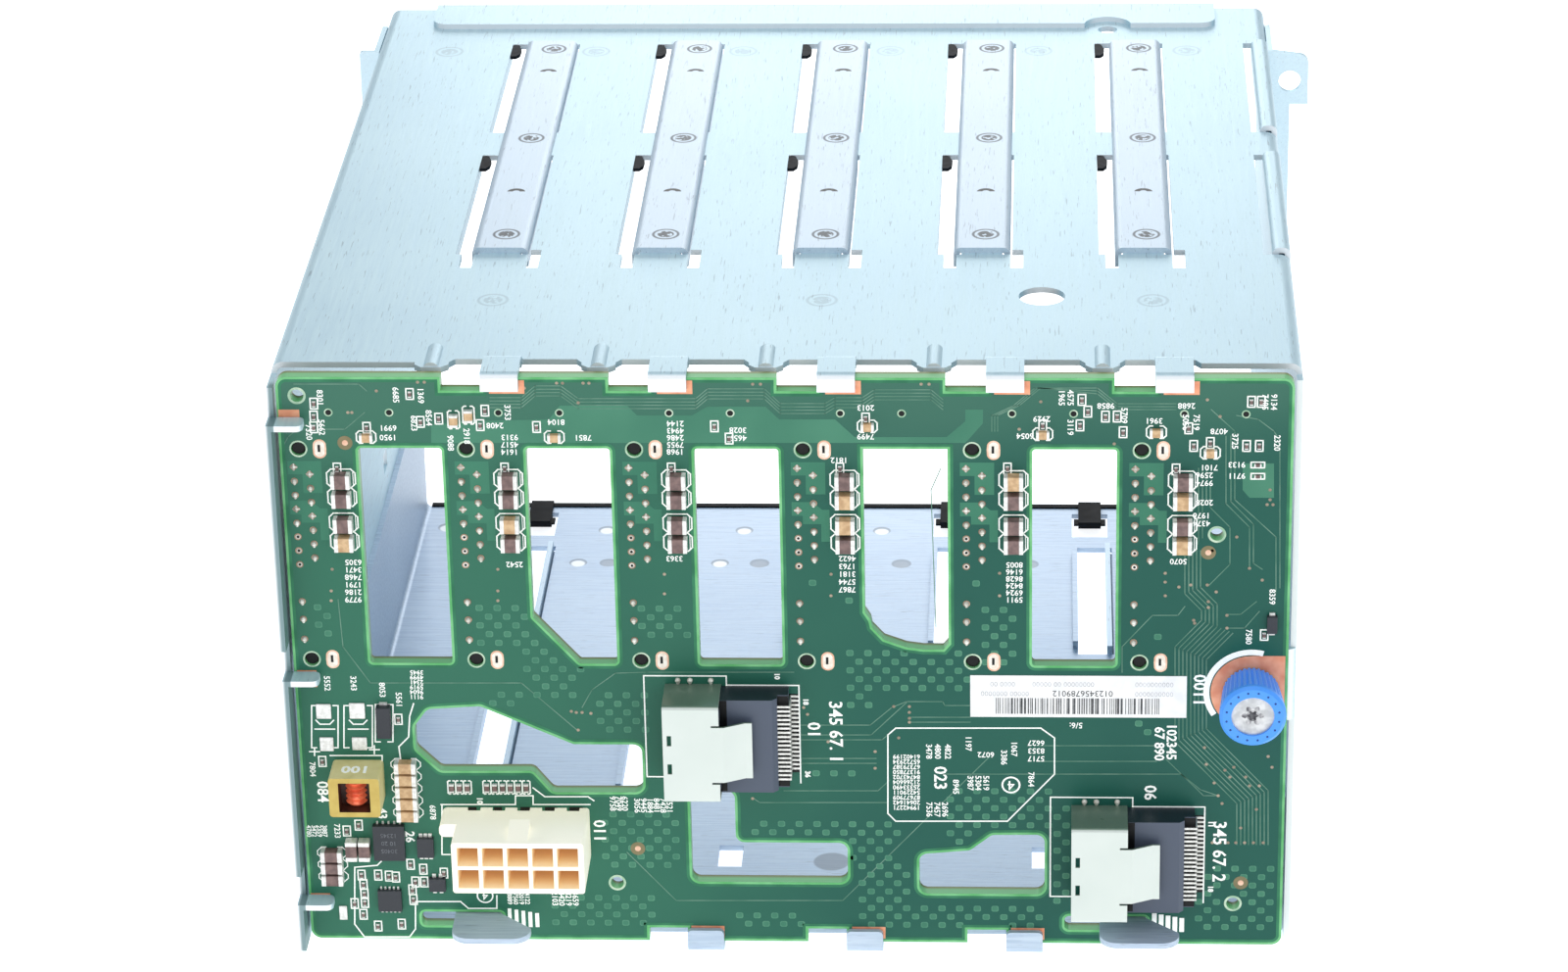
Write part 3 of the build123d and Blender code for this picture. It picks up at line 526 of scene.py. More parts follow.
# Drive connector joints. Fifteen signal and power pins of each connector come through the board in
# staggered columns and are wave soldered; two locating pegs sit in ringed holes beside plated slots.
solder = mottled("solder", (196, 192, 180), (250, 248, 240), 0.3, 0.35, 900.0)
slot_plating = mottled("slot_plating", (228, 176, 146), (246, 208, 182), 0.4, 0.15, 700.0)
joint_brown = mottled("joint_brown", (140, 112, 92), (190, 156, 132), 0.4, 0.2, 700.0)
slot_white = mottled("slot_white", (240, 226, 208), (255, 250, 240), 0.5, 0.0, 900.0)
hole_ring = mottled("hole_ring", (150, 190, 158), (204, 224, 200), 0.4, 0.1, 600.0)
# Black plastic of the pegs and washer; the same black also serves as painted shade in holes, beside the ports
# and by the header.
peg_black_and_shade = finish(
    "peg_black_and_shade", (11, 13, 15), 0.5, 0.0, lambda point: {"Roughness": point.noise(800.0) * 0.3 + 0.35},
    **{"Specular IOR Level": 0.3})
left_pins = [(-1.0, -3.3 - 2.54 * row) for row in range(8)]
right_pins = [(1.6, -4.57 - 2.54 * row) for row in range(7)]
low_pins = [(-1.0, -27.9), (-1.0, -31.2), (-1.0, -34.9)]
ring_height = 0.03
star_rows = (0, 3)
open_rows = (5, 6, 7)
joints = bmesh.new()
joint_rings = bmesh.new()
slots = bmesh.new()
slot_fills = bmesh.new()
rings = bmesh.new()
# Painted shade: dark discs and bars in open pin holes, plated slots and vias.
hole_shades = bmesh.new()


def add_drop(mesh, x, z, radius):
    """Solder joint: a low dome with its tail below."""
    for reach, place, height in ((radius, z, 0.12), (0.6 * radius, z - radius, 0.02)):
        dome = bmesh.ops.create_uvsphere(mesh, u_segments=10, v_segments=6, radius=reach * MM)["verts"]
        bmesh.ops.translate(mesh, vec=at(x, place, height), verts=dome)


for bay in range(bay_count):
    shift = bay * bay_pitch
    for column in (left_pins, right_pins, low_pins):
        for row, (x, z) in enumerate(column):
            place = (x + shift, z)
            if column is not low_pins and row in star_rows:
                add_block(joint_rings, place, (1.0, 1.0), 0, 0.03, pi / 4)
                add_block(joints, place, (0.3, 1.25), 0, 0.05)
                add_block(joints, place, (1.25, 0.3), 0, 0.06)
                add_spun(joints, place, disc_profile(0.36, 0.1), 10)
            elif column is left_pins and row in open_rows:
                add_spun(joint_rings, place, ring_profile(0.42, 0.62, 0, ring_height), 12)
                add_spun(joints, place, ring_profile(0.24, 0.44, 0, 0.06), 12)
                # Painted shade in an open pin hole.
                add_spun(hole_shades, place, disc_profile(0.24, 0.04), 10)
            else:
                add_spun(joint_rings, place, ring_profile(0.44, 0.6, 0, ring_height), 12)
                add_drop(joints, *place, 0.46)
    for z in (0, -locating_drop):
        add_spun(rings, (shift, z), ring_profile(1.22, 1.5, 0, ring_height), 24)
        add_spun(slots, (shift + 3.5, z), ring_profile(0.84, 1.12, 0, ring_height), 20, 0.6)
        add_spun(slot_fills, (shift + 3.5, z), disc_profile(0.84, 0.05), 20, 0.6)
        # Painted shade in the plated slot.
        add_block(hole_shades, (shift + 3.4, z + 0.1), (0.42, 1.3), 0.05, 0.07)
keep(joints, "connector_joints", solder, smooth=True)
keep(joint_rings, "connector_joint_rings", joint_brown)
keep(slots, "plated_slots", slot_plating)
keep(slot_fills, "slot_solder", slot_white)
keep(rings, "locating_hole_rings", hole_ring)
for bay in range(1, bay_count + 1):
    coat(peg_black_and_shade, f"drive_connector_{bay}")


# Chip capacitors. Sintered ceramic blocks with tinned ends, reflow soldered flat on the board; the
# large ones decouple each drive and the stacks smooth the input power.
brown_ceramic = mottled("brown_ceramic", (104, 82, 80), (134, 108, 104), 0.4, 0.0, 900.0)
tan_ceramic = mottled("tan_ceramic", (192, 154, 112), (222, 188, 144), 0.4, 0.0, 900.0)
end_tin = mottled("end_tin", (222, 222, 218), (252, 252, 250), 0.3, 0.3, 1500.0)
brown_blocks = bmesh.new()
tan_blocks = bmesh.new()
tin_ends = bmesh.new()


def add_capacitor(centre, length, width, height, tan, upright=False):
    """Ceramic block with a tinned end each side; upright ones have their ends above and below."""
    turn = pi / 2 if upright else 0.0
    end = 0.22 * length
    blocks = tan_blocks if tan else brown_blocks
    ease(blocks, add_block(blocks, centre, (length - end, width), 0, height, turn), 0.08, 1)
    for side in (-1, 1):
        reach = side * (length - end) / 2
        place = (centre[0] + reach * cos(turn), centre[1] + reach * sin(turn))
        ease(tin_ends, add_block(tin_ends, place, (end, width + 0.05), 0, height + 0.04, turn), 0.1, 2)


cap_rows = [-5.3, -8.75, -13.3, -16.75]
tan_places = {(0, 3), (1, 2), (3, 1), (3, 2), (4, 0), (5, 1), (5, 3)}
for bay in range(bay_count):
    for row, z in enumerate(cap_rows):
        add_capacitor((6.75 + bay * bay_pitch, z), 3.2, 2.5, 1.9, (bay, row) in tan_places)
for index in range(5):
    add_capacitor((14.75, -58.5 - 2.3 * index), 3.7, 1.9, 1.9, True)
low_stack = 3
low_stack_top = -75.6
for index in range(low_stack):
    add_capacitor((1.3, low_stack_top - 2.3 * index), 3.7, 1.9, 1.9, False)
for index in range(2):
    add_capacitor((4.8 + 2.2 * index, -74.5), 3.7, 1.9, 1.9, False, True)


# Small passives. Resistors and capacitors under 2 mm on pale pads, each in a white printed frame;
# their places are the ones in the photograph.
small_places = [
    (418, 402), (447.7, 427.2), (494.8, 419), (490, 433.8), (429, 430.5), (320.2, 411.8),
    (320.2, 425), (320.2, 436), (374.2, 436.5), (547.5, 435.7), (344, 478), (515, 478),
    (685, 478), (857, 478), (1028, 478), (1200, 479), (406.5, 734), (329, 777), (366, 842),
    (354, 848), (419, 882), (369, 893), (372, 912), (386, 893), (397, 894), (404, 895),
    (362, 922), (371, 933), (386, 945), (410, 943), (432, 887), (421, 908), (422, 918),
    (371, 902.5), (372.4, 921), (424, 900), (433, 900), (453, 891),
    (1290, 648), (1272, 455), (1218, 455), (1140, 425), (1285, 455),
    (1104, 408), (1110, 420), (1128, 425), (1213, 437), (1277, 410), (1287, 410), (1146, 441),
    (744, 447.5), (729, 435), (883.3, 427), (1064, 434), (1235, 452), (1102, 434),
]
frames = bmesh.new()
line_low = 0.02
line_high = 0.045
line_width = 0.23
for place in small_places:
    x, z = seen(place)
    add_capacitor((x, z), 1.05, 0.55, 0.4, False, True)
    add_line(
        frames, [(x - 0.6, z - 0.95), (x + 0.6, z - 0.95), (x + 0.6, z + 0.95), (x - 0.6, z + 0.95)],
        line_width, line_low, line_high, True)


def add_bracket(mesh, centre, half_width, half_height, width):
    """Pair of brackets with cut corners, left and right of a place."""
    x, z = centre
    cut = 0.3 * half_width
    for side in (-1, 1):
        corners = [(half_width - 2 * cut, half_height), (half_width - cut, half_height),
                   (half_width, half_height - cut), (half_width, cut - half_height),
                   (half_width - cut, -half_height), (half_width - 2 * cut, -half_height)]
        points = [(x + side * across, z + rise) for across, rise in corners]
        add_line(mesh, points, width, line_low, line_high)


wide_places = [(1283.5, 474.5), (1283.5, 486)]
for place in wide_places:
    x, z = seen(place)
    add_capacitor((x, z), 1.2, 0.55, 0.4, False)
    add_line(
        frames, [(x - 1.1, z - 0.5), (x + 1.1, z - 0.5), (x + 1.1, z + 0.5), (x - 1.1, z + 0.5)],
        line_width, line_low, line_high, True)
medium_places = [
    (462.8, 428.3, True), (478, 423.6, True), (373.6, 446, False), (565.6, 446, False), (885, 435, False),
    (1064, 443, False), (1180, 441, False), (1235, 462, False)
]
for u, v, upright in medium_places:
    place = seen((u, v))
    add_capacitor(place, 2.2, 1.35, 0.9, True, upright)
    add_bracket(frames, place, 0.95 if upright else 1.6, 1.6 if upright else 1.1, line_width)
array_pixels = [(u, 803.5) for u in (461, 469, 477, 497, 505, 513, 521, 529, 537)]
for pixel in array_pixels:
    place = seen(pixel)
    add_capacitor(place, 1.6, 0.8, 0.6, False, True)
    add_bracket(frames, place, 0.66, 1.25, line_width)
brown_piece = keep(brown_blocks, "brown_capacitors", brown_ceramic)
tan_piece = keep(tan_blocks, "tan_capacitors", tan_ceramic)
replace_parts(brown_piece, "bay_capacitors")
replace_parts(tan_piece, "input_capacitors")


# Printed frames. White epoxy ink screened over the mask: outlines round the connectors, capacitors,
# chips and the thumbscrew.
# White ink, with a faint painted glow from its emission.
ink = mottled(
    "white_ink_painted_glow", (240, 244, 240), (255, 255, 252), 0.6, 0.0, 1200.0,
    **{"Emission Color": (0.95, 1, 0.97, 1), "Emission Strength": 0.18})


def add_outline(points, closed=False):
    """White line through pixels of the photograph."""
    add_line(frames, [seen(point) for point in points], line_width, line_low, line_high, closed)


for bay in range(bay_count):
    x = 6.75 + bay * bay_pitch
    for z in cap_rows:
        add_bracket(frames, (x, z), 2.35, 1.66, line_width)
        add_line(frames, [(x + 1.98, z + 1.1), (x + 1.98, z - 1.1)], 0.12, line_low, line_high)
    for z in (cap_rows[0], cap_rows[2]):
        add_line(frames, [(x - 1.2, z + 1.66), (x + 1.2, z + 1.66)], line_width, line_low, line_high)
for index in range(5):
    add_bracket(frames, (14.75, -58.5 - 2.3 * index), 2.5, 1.1, 0.16)
for index in range(low_stack):
    add_bracket(frames, (1.3, low_stack_top - 2.3 * index), 2.5, 1.1, 0.16)
port_places = [(59.0, -52.0), (126.85, -74.6)]
port_outlines = [
    [(-3.5, 10.5), (10.3, 10.5), (10.3, 8.8), (22.4, 8.8), (22.4, -9.6)],
    [(-3.5, 10.5), (-3.5, -8.6), (0, -8.6)],
]
for left, middle in port_places:
    for outline in port_outlines:
        add_line(frames, [(left + x, middle + z) for x, z in outline], line_width, line_low, line_high)
chip_box_outline = [
    (906, 750), (914, 743), (1062, 743), (1076, 753), (1076, 790), (1028, 838), (914, 838), (906, 830)
]
open_outlines = [
    [(451, 822), (451, 872), (459, 872)],
    [(450, 821), (526, 821), (526, 812), (544, 812), (544, 821), (602, 821)],
    [(544, 804), (556, 813), (600, 813), (606, 817)],
    [(409, 776), (407, 762), (417, 752), (418, 731), (422, 718)], [(337, 771), (390, 771), (390, 816)],
    [(362, 885), (362, 943), (372, 956), (418, 956), (424, 948), (424, 920), (470, 920), (478, 927),
     (507, 927), (507, 914)],
    [(362, 885), (385, 883), (389, 879)],
]
diode_boxes = ((318, 720, 345, 763), (351, 720, 380, 763), (383, 719, 401, 757))
for u0, v0, u1, v1 in diode_boxes:
    open_outlines += [
        [(u0 + 5, v0), (u0, v0), (u0, v1), (u0 + 5, v1)], [(u1 - 5, v0), (u1, v0), (u1, v1), (u1 - 5, v1)]]
diode_middles = (331.5, 365.5)
for u in diode_middles:
    open_outlines += [
        [(u - 10, 744), (u + 10, 744)], [(u - 9, 735), (u - 5, 739), (u + 5, 739), (u + 9, 735)]]
plus_pixels = ((321, 767), (382, 765))
for u, v in plus_pixels:
    open_outlines += [[(u - 5, v), (u + 5, v)], [(u, v - 4), (u, v + 4)]]
add_outline(chip_box_outline, True)
for outline in open_outlines:
    add_outline(outline)
arc_start = 75
arc_end = 215
arc_radius = 7.4
arc_half = 0.5
arc = []
for angle in range(arc_start, arc_end + 1, 5):
    away = Vector((cos(radians(angle)), sin(radians(angle))))
    arc.append([frames.verts.new(at(screw_x + reach * away.x, screw_z + reach * away.y, line_high))
                for reach in (arc_radius - arc_half, arc_radius + arc_half)])
for (near, far), (next_near, next_far) in zip(arc, arc[1:]):
    frames.faces.new((near, far, next_far, next_near))
mark_pixels = ((1031.6, 801), (495, 914))
for pixel, (inside, outside) in zip(mark_pixels, ((1.3, 1.6), (1.2, 1.45))):
    add_spun(frames, seen(pixel), ring_profile(inside, outside, line_low, line_high), 24)
stripe_pixels = ((518, 927), (1175.5, 932))
for left, top in stripe_pixels:
    for stripe in range(5):
        pixel = (left + 7 * stripe, top + 1.2 * stripe)
        add_patch(frames, pixel, (pixel[0] + 4.6, top + 19), line_low, line_high)
keep(frames, "printed_frames", ink)


# Printed numbers. White epoxy ink screened over the mask beside the components, half of them read
# from above and half from the side.
def add_number(mesh, text, place, size, turn, height=0.035, bold=0.02):
    """Plain number on the board: size is its height in millimetres and turn is in degrees."""
    curve = bpy.data.curves.new("number", "FONT")
    curve.body = text
    curve.size = size * 1.35 * MM
    curve.align_x = "CENTER"
    curve.align_y = "CENTER"
    curve.resolution_u = 2
    curve.extrude = 0.012 * MM
    curve.offset = bold * MM
    writer = bpy.data.objects.new("number", curve)
    shape = bpy.data.meshes.new_from_object(writer)
    stand = Matrix.Rotation(pi / 2, 4, "X")
    shape.transform(
        Matrix.Translation(at(*place, height)) @ Matrix.Rotation(-radians(turn), 4, "Y") @ stand)
    mesh.from_mesh(shape)
    bpy.data.objects.remove(writer)
    bpy.data.curves.remove(curve)
    bpy.data.meshes.remove(shape)


flat_rows = [
    (360.5, 573.6, 6, 7.6), (525, 575.8, 1, 0), (396, 436.5, 2, 9.6), (520, 446, 3, 7.5), (505, 434, 1, 0),
    (567.5, 430.5, 1, 0), (594.9, 446.4, 1, 0), (689, 432, 5, 7.2), (753, 438.7, 2, 8),
    (883.3, 415.9, 1, 0), (883.3, 445.2, 1, 0), (856.2, 469.4, 1, 0), (864.5, 569.8, 5, 7.9),
    (688.2, 569.8, 1, 0), (1128.4, 413.9, 1, 0), (1063, 427.3, 1, 0), (1046, 444.7, 1, 0),
    (1177.6, 429.2, 1, 0), (1210.8, 413.9, 1, 0), (1244, 439.9, 1, 0), (1233.9, 476.9, 1, 0),
    (1229, 484.7, 2, 8), (1229, 512.6, 1, 0), (1226, 525.9, 2, 8), (1262, 474, 2, 11.4),
    (1035.1, 576.3, 6, 7.1), (1202.4, 572.7, 1, 0), (425.1, 686, 6, 5.0), (1057.3, 758, 3, 8),
    (918, 772, 11, 5.2), (932, 772, 11, 5.2), (1006, 769.9, 1, 0),
]
upright_rows = [
    (326.2, 405.8, 1, 0), (328, 436, 1, 0), (315, 441, 1, 0), (403.5, 403, 1, 0), (429, 403.6, 1, 0),
    (437.3, 426.4, 1, 0), (422.2, 431.9, 1, 0), (517.6, 421, 1, 0), (476, 445, 1, 0), (459.5, 452, 1, 0),
    (1083.1, 405.9, 2, 9), (1147, 424, 1, 0), (1092, 436, 1, 0), (1209.6, 431, 2, 11),
    (1290.8, 410.3, 2, 9), (1303, 452, 1, 0), (1260, 450.3, 1, 0), (1298, 609, 1, 0), (1274, 649.8, 1, 0),
    (333.6, 697.3, 1, 0), (360.5, 697.3, 1, 0), (389.8, 704, 1, 0), (406.8, 714, 1, 0), (318.8, 785, 1, 0),
    (441.4, 829, 1, 0), (344, 848, 1, 0), (315, 848, 4, 5.4), (947.7, 766.8, 2, 9), (967, 767, 1, 0),
    (988, 758.7, 1, 0), (975.2, 803, 1, 0), (990, 799, 3, 8), (1034.6, 764.2, 1, 0), (1024.2, 772.9, 1, 0),
    (1052, 795.3, 1, 0), (625, 820, 3, 6.2), (650, 822, 6, 6.6), (948, 826, 3, 8), (520, 917, 4, 6),
    (566, 917, 4, 7),
]
big_numbers = [
    ("345 67. 1", (852.4, 747), 2.3), ("01", (830, 745), 2.2), ("10", (792.7, 690), 0.9),
    ("18", (822, 716), 0.9), ("36", (824, 790), 0.9), ("023", (959, 794), 2.2),
    ("0011", (1223.7, 704.5), 2.2), ("102345", (1195, 757), 1.7), ("67 890", (1182.6, 759), 1.7),
    ("06", (1173.2, 809), 2.1), ("345 67. 2", (1243.6, 869), 2.3), ("11", (1235.4, 841), 0.9),
    ("18", (1235, 907), 0.9), ("011", (611.4, 848), 2.1), ("084", (329, 808), 2.0),
    ("43", (389.8, 830), 1.6), ("26", (418, 854), 1.6), ("10", (489.4, 817), 1.0),
]
numbers = bmesh.new()
random.seed(7)
for rows, turn, step_u, step_v in ((flat_rows, 180, 0, 1), (upright_rows, -90, 1, 0)):
    for u, v, count, step in rows:
        for index in range(count):
            size = 1.05 if count < 4 or step > 6.5 else 0.85
            place = seen((u + step * index * step_u, v + step * index * step_v))
            add_number(numbers, str(random.randint(1000, 9999)), place, size, turn)
for text, pixel, size in big_numbers:
    add_number(numbers, text, seen(pixel), size, -90, bold=0.05)
label_note_pixel = (1098, 740)
add_number(numbers, "5/6:", seen(label_note_pixel), 1.1, 180)
for pixel, size in zip(mark_pixels, (1.8, 1.5)):
    add_number(numbers, "4", seen(pixel), size, 180)
keep(numbers, "printed_numbers", ink)


# Copper pattern seen through the mask. Paler planes feed the connectors, rounded squares of thieving
# copper fill the empty areas, and fine traces run between the connectors.
def masked(name, low_colour, high_colour, scale=300.0):
    """Solder mask as it looks over copper."""
    return mottled(name, low_colour, high_colour, 0.34, 0.0, scale, **mask_gloss)


plane_mask = masked("masked_plane", (64, 126, 102), (76, 138, 112), 60.0)
plane_outlines = [
    [
        (440, 452), (440, 434), (470, 430), (560, 428), (571, 414), (640, 414), (650, 424), (706, 424),
        (722, 415), (781, 415), (795, 428), (852, 428), (872, 446), (966, 446), (966, 452)],
    [(966, 452), (966, 446), (985, 430), (985, 418), (1003, 418), (1003, 432), (985, 452)],
    [(1268, 500), (1268, 473), (1300, 473), (1300, 500), (1300, 508), (1275, 508)],
]
bay_outlines = [
    [(-2.0, -2.2), (3.6, -2.2), (3.6, -8.0), (0.4, -8.0), (0.4, -4.6), (-2.0, -4.6)],
    [(-2.0, -9.4), (1.4, -9.4), (3.0, -10.8), (4.2, -10.8), (4.2, -16.6), (2.8, -16.6), (2.8, -13.4),
     (-0.2, -13.4), (-0.2, -11.9), (-2.0, -11.9)],
]
planes = bmesh.new()
bay_planes = bmesh.new()


def add_plane(mesh, points):
    """Flat area just over the mask, through points in millimetres."""
    mesh.faces.new([mesh.verts.new(at(x, z, 0.008)) for x, z in points])


for outline in plane_outlines:
    add_plane(planes, [seen(pixel) for pixel in outline])
for bay in range(bay_count):
    x = bay * bay_pitch
    for outline in bay_outlines:
        add_plane(bay_planes, [(x + across, z) for across, z in outline])
keep(planes, "copper_planes", plane_mask)
keep(
    bay_planes, "connector_planes",
    masked("bay_plane_mask", (54, 120, 96), (64, 130, 104), 60.0))

ghost = masked("masked_copper", (62, 124, 100), (72, 134, 108))
ghost_edge = masked("masked_copper_edge", (76, 136, 112), (88, 146, 120))
fill_areas = [
    (320, 618, 342, 652), (490, 618, 566, 658), (532, 652, 592, 690), (545, 688, 592, 712),
    (655, 618, 692, 656), (503, 709, 537, 725), (612, 702, 662, 752), (612, 828, 694, 890),
    (566, 913, 668, 946), (862, 662, 988, 706), (866, 704, 892, 728), (765, 836, 922, 852),
    (866, 850, 914, 884), (874, 882, 932, 946), (902, 923, 1002, 947), (752, 929, 824, 947),
    (1004, 620, 1042, 682), (958, 684, 978, 706), (965, 800, 1075, 862), (960, 924, 1068, 948),
    (1222, 880, 1302, 950), (1078, 822, 1090, 925), (822, 586, 832, 596), (862, 604, 872, 614),
    (995, 588, 1003, 597), (1164, 588, 1172, 597), (1172, 648, 1182, 658), (830, 786, 872, 796),
    (700, 632, 702, 652), (1160, 735, 1172, 750),
]
fill_pitch = 3.0
fill_row = 1.62
fill_columns = 56
fill_rows = 62


def on_board(x, z):
    """Whether a square around a place lies wholly on the board's face."""
    margin = 0.9
    return all(
        board_tree.ray_cast(at(x + side * margin, z + rise * margin, 1.0), Vector((0, 1, 0)), 2 * MM)[0]
        for side in (-1, 1) for rise in (-1, 1))


def add_tile(mesh, x, z, half_width, half_height, height):
    """Flat square with cut corners over the mask."""
    cut = 0.22
    corners = [
        (half_width, half_height - cut), (half_width - cut, half_height), (cut - half_width, half_height),
        (-half_width, half_height - cut), (-half_width, cut - half_height),
        (cut - half_width, -half_height), (half_width - cut, -half_height), (half_width, cut - half_height)
    ]
    mesh.faces.new([mesh.verts.new(at(x + across, z + rise, height)) for across, rise in corners])


fills = bmesh.new()
fill_edges = bmesh.new()
lattice = [
    (fill_pitch * (column + row % 2 / 2), -29.0 - fill_row * (row - 15)) for row in range(fill_rows)
    for column in range(fill_columns)
]
areas = [(seen((u0, v1)), seen((u1, v0))) for u0, v0, u1, v1 in fill_areas]
for x, z in lattice:
    if any(low[0] < x < high[0] and low[1] < z < high[1] for low, high in areas) and on_board(x, z):
        add_tile(fill_edges, x, z, 0.62, 0.56, 0.012)
        add_tile(fills, x, z, 0.46, 0.4, 0.02)
keep(fill_edges, "thieving_copper_edges", ghost_edge)
keep(fills, "thieving_copper", ghost)

trace_mask = masked("masked_trace", (86, 132, 112), (114, 152, 134))
# Runs go through pixels of the photograph, and each point of a bundle has its shift to the next trace.
trace_runs = [
    [(640, 870), (690, 919), (860, 919), (955, 826), (1010, 772)],
    [(815, 740), (888, 740), (910, 722), (925, 716), (962, 716), (964, 720), (990, 720)],
    [(815, 750), (889, 750), (925, 717)],
    [(815, 755), (900, 755), (906, 750)],
    [(768, 814), (775, 819), (906, 819)],
    [(800, 807), (896, 807), (908, 796)],
    [(815, 774), (894, 774)],
    [(815, 779), (894, 779)],
    [(928, 732), (990, 732)], [(928, 737), (990, 737)],
    [(345, 612), (350, 660), (378, 697), (532, 697), (590, 746)],
    [(594, 722), (604, 704), (628, 687), (660, 686), (810, 686)],
    [(300, 392), (366, 392), (374, 399)],
    [(289, 438), (352, 438), (372, 421)],
    [(289, 455), (294, 446), (302, 439)],
    [(1145, 686), (1145, 660), (1176, 628), (1202, 628), (1209, 619)],
    [(1060, 761), (1180, 761)], [(1060, 777), (1180, 777)],
    [(965, 790), (1205, 790), (1225, 806), (1243, 812)],
    [(1190, 775), (1228, 812), (1243, 812)],
    [(955, 640), (950, 500), (960, 478)],
    [(1251, 445), (1251, 514), (1275, 538), (1275, 578)],
    [(1256, 445), (1256, 512), (1279, 535), (1279, 575), (1288, 581)],
    [(1236, 418), (1260, 440), (1260, 510), (1302, 548), (1302, 604)],
    [(1262, 424), (1284, 428), (1300, 440), (1306, 450), (1306, 600)],
    [(1223, 478), (1223, 552), (1219, 562)], [(1227, 478), (1227, 549)], [(1231, 480), (1231, 510)],
    [(1235, 492), (1235, 518), (1255, 538), (1255, 576), (1234, 597)],
    [(1253, 627), (1266, 627), (1282, 614)], [(1253, 641), (1270, 641), (1285, 624)],
]
rail_path = [
    (500, 416), (532, 416), (546, 404), (572, 404), (590, 417), (710, 417), (722, 407), (780, 407),
    (796, 422), (842, 422), (852, 416), (880, 416), (892, 408), (950, 408), (962, 418),
]
trace_bundles = [
    (5, [(1209, 562, 4, 0), (1209, 606, 4, -1.66), (1226, 623, 4, -1.66), (1226, 633, 4, 1.66)]),
    (9, [(1226, 633, 4, 1.66), (1199, 660, 4, 1.66), (1199, 757, 4, -1.66), (1262, 820, 4, -1.66),
         (1262, 862, 4, 0)]),
    (4, [(u, v, 0, -3.4) for u, v in rail_path]),
    (3, [(1012, 440, 3, 0), (1012, 424, 3, 0), (1034, 414, 3, 0), (1046, 404, 3, 0), (1056, 396, 3, 0),
         (1120, 396, 0, 3), (1140, 412, 0, 3), (1200, 412, 0, 3)]),
]
for count, path in trace_bundles:
    for number in range(count):
        trace_runs.append([(u + number * across, v + number * down) for u, v, across, down in path])
traces = bmesh.new()
for run in trace_runs:
    add_line(traces, [seen(point) for point in run], 0.15, 0, 0.015)
keep(traces, "masked_traces", trace_mask)


# Vias and plated holes. Drilled and plated through the board, with their copper rings left bare.
vias = bmesh.new()
via_row = 6.55
via_pitch = 27.9
via_offsets = (5.31, 15.29)
for bay in range(bay_count):
    for offset in via_offsets:
        place = (offset + bay * via_pitch, via_row)
        add_spun(vias, place, ring_profile(0.5, 0.72, 0, ring_height), 16)
        # Painted shade in the via's hole.
        add_spun(hole_shades, place, disc_profile(0.5, 0.02), 14)
for place in tooling_holes:
    add_spun(vias, place, ring_profile(1.12, 1.5, 0, ring_height), 24)
keep(vias, "plated_holes", hole_ring)
fiducials = bmesh.new()
halos = bmesh.new()
fiducial_places = ((7.75, 1.09), (53.51, -74.45), (149.07, -18.36), (155.5, -80.34))
for place in fiducial_places:
    add_spun(fiducials, place, disc_profile(0.5, 0.05), 16)
    add_spun(halos, place, disc_profile(1.25, 0.03), 20)
small_vias = bmesh.new()
via_places = [
    (384, 399), (355, 421), (359, 421), (426, 390), (433, 390), (535, 396), (568, 391), (574, 391),
    (595, 391), (601, 391), (768, 392), (776, 392), (940, 392), (948, 392), (590, 411), (763, 409),
    (1237, 562), (1262, 548), (820, 722), (824, 729), (845, 757), (851, 757), (893, 767), (893, 784),
    (912, 721), (928, 721), (928, 727), (928, 733), (928, 737), (917, 753), (1243, 812), (1247, 820),
    (1237, 860), (1245, 860), (1253, 860), (1261, 860), (1270, 860), (1279, 860), (1289, 860), (590, 745),
    (583, 726), (588, 727), (594, 727), (603, 728), (768, 815), (339, 581), (338, 603), (338, 613),
    (508, 581), (508, 603), (508, 613), (678, 586), (678, 606), (848, 586), (848, 608), (1020, 585),
    (1020, 608), (1189, 585), (1189, 594), (1189, 608), (1203, 599), (1215, 597), (1232, 597), (1241, 604),
    (1233, 614), (1275, 580), (1288, 592), (1218, 633), (1233, 620), (1252, 628), (1252, 641), (1219, 636),
    (1229, 763), (1231, 780), (1239, 799), (1250, 786), (1259, 783), (1255, 793), (1271, 793), (1275, 802),
    (1285, 802), (1298, 783), (1282, 826), (1266, 845), (1294, 772), (1062, 410), (1040, 438), (1137, 453),
    (1232, 408), (1245, 425), (1296, 500), (1296, 510), (1293, 515), (1299, 515),
]
for pixel in via_places:
    add_spun(small_vias, seen(pixel), disc_profile(0.28, 0.03), 8)
# The painted shade of the holes, in the black material.
keep(hole_shades, "painted_hole_shade", peg_black_and_shade)
keep(
    halos, "fiducial_clearings", mottled("clear_mask", (116, 110, 74), (132, 120, 84), 0.4, 0.0, 300.0))
keep(fiducials, "fiducial_marks", slot_plating)
keep(
    small_vias, "small_vias", mottled("via_tin", (140, 128, 110), (176, 160, 140), 0.4, 0.2, 700.0))


# Mini-SAS ports. A drawn shell of nickel-plated steel with a sprung latch over a black moulding,
# and eighteen tinned tails soldered in two staggered rows beside three grounding joints.
def upward(point):
    """1 on faces that look up, which get a painted reflection of the board, and 0 on the others."""
    return point.facing(2).between(0.5, 0.9)


# The shell's up-facing faces carry a painted reflection of the green board.
nickel = finish(
    "nickel", (214, 222, 216), 0.36, 0.3,
    lambda point: {
        "Roughness": point.noise(220.0, 3.0, (1, 4, 1)) * 0.2 + 0.22,
        "Base Color": upward(point).blend(
            point.noise(90.0, 2.0).blend((206, 216, 210), (222, 229, 224)), (118, 142, 126))})
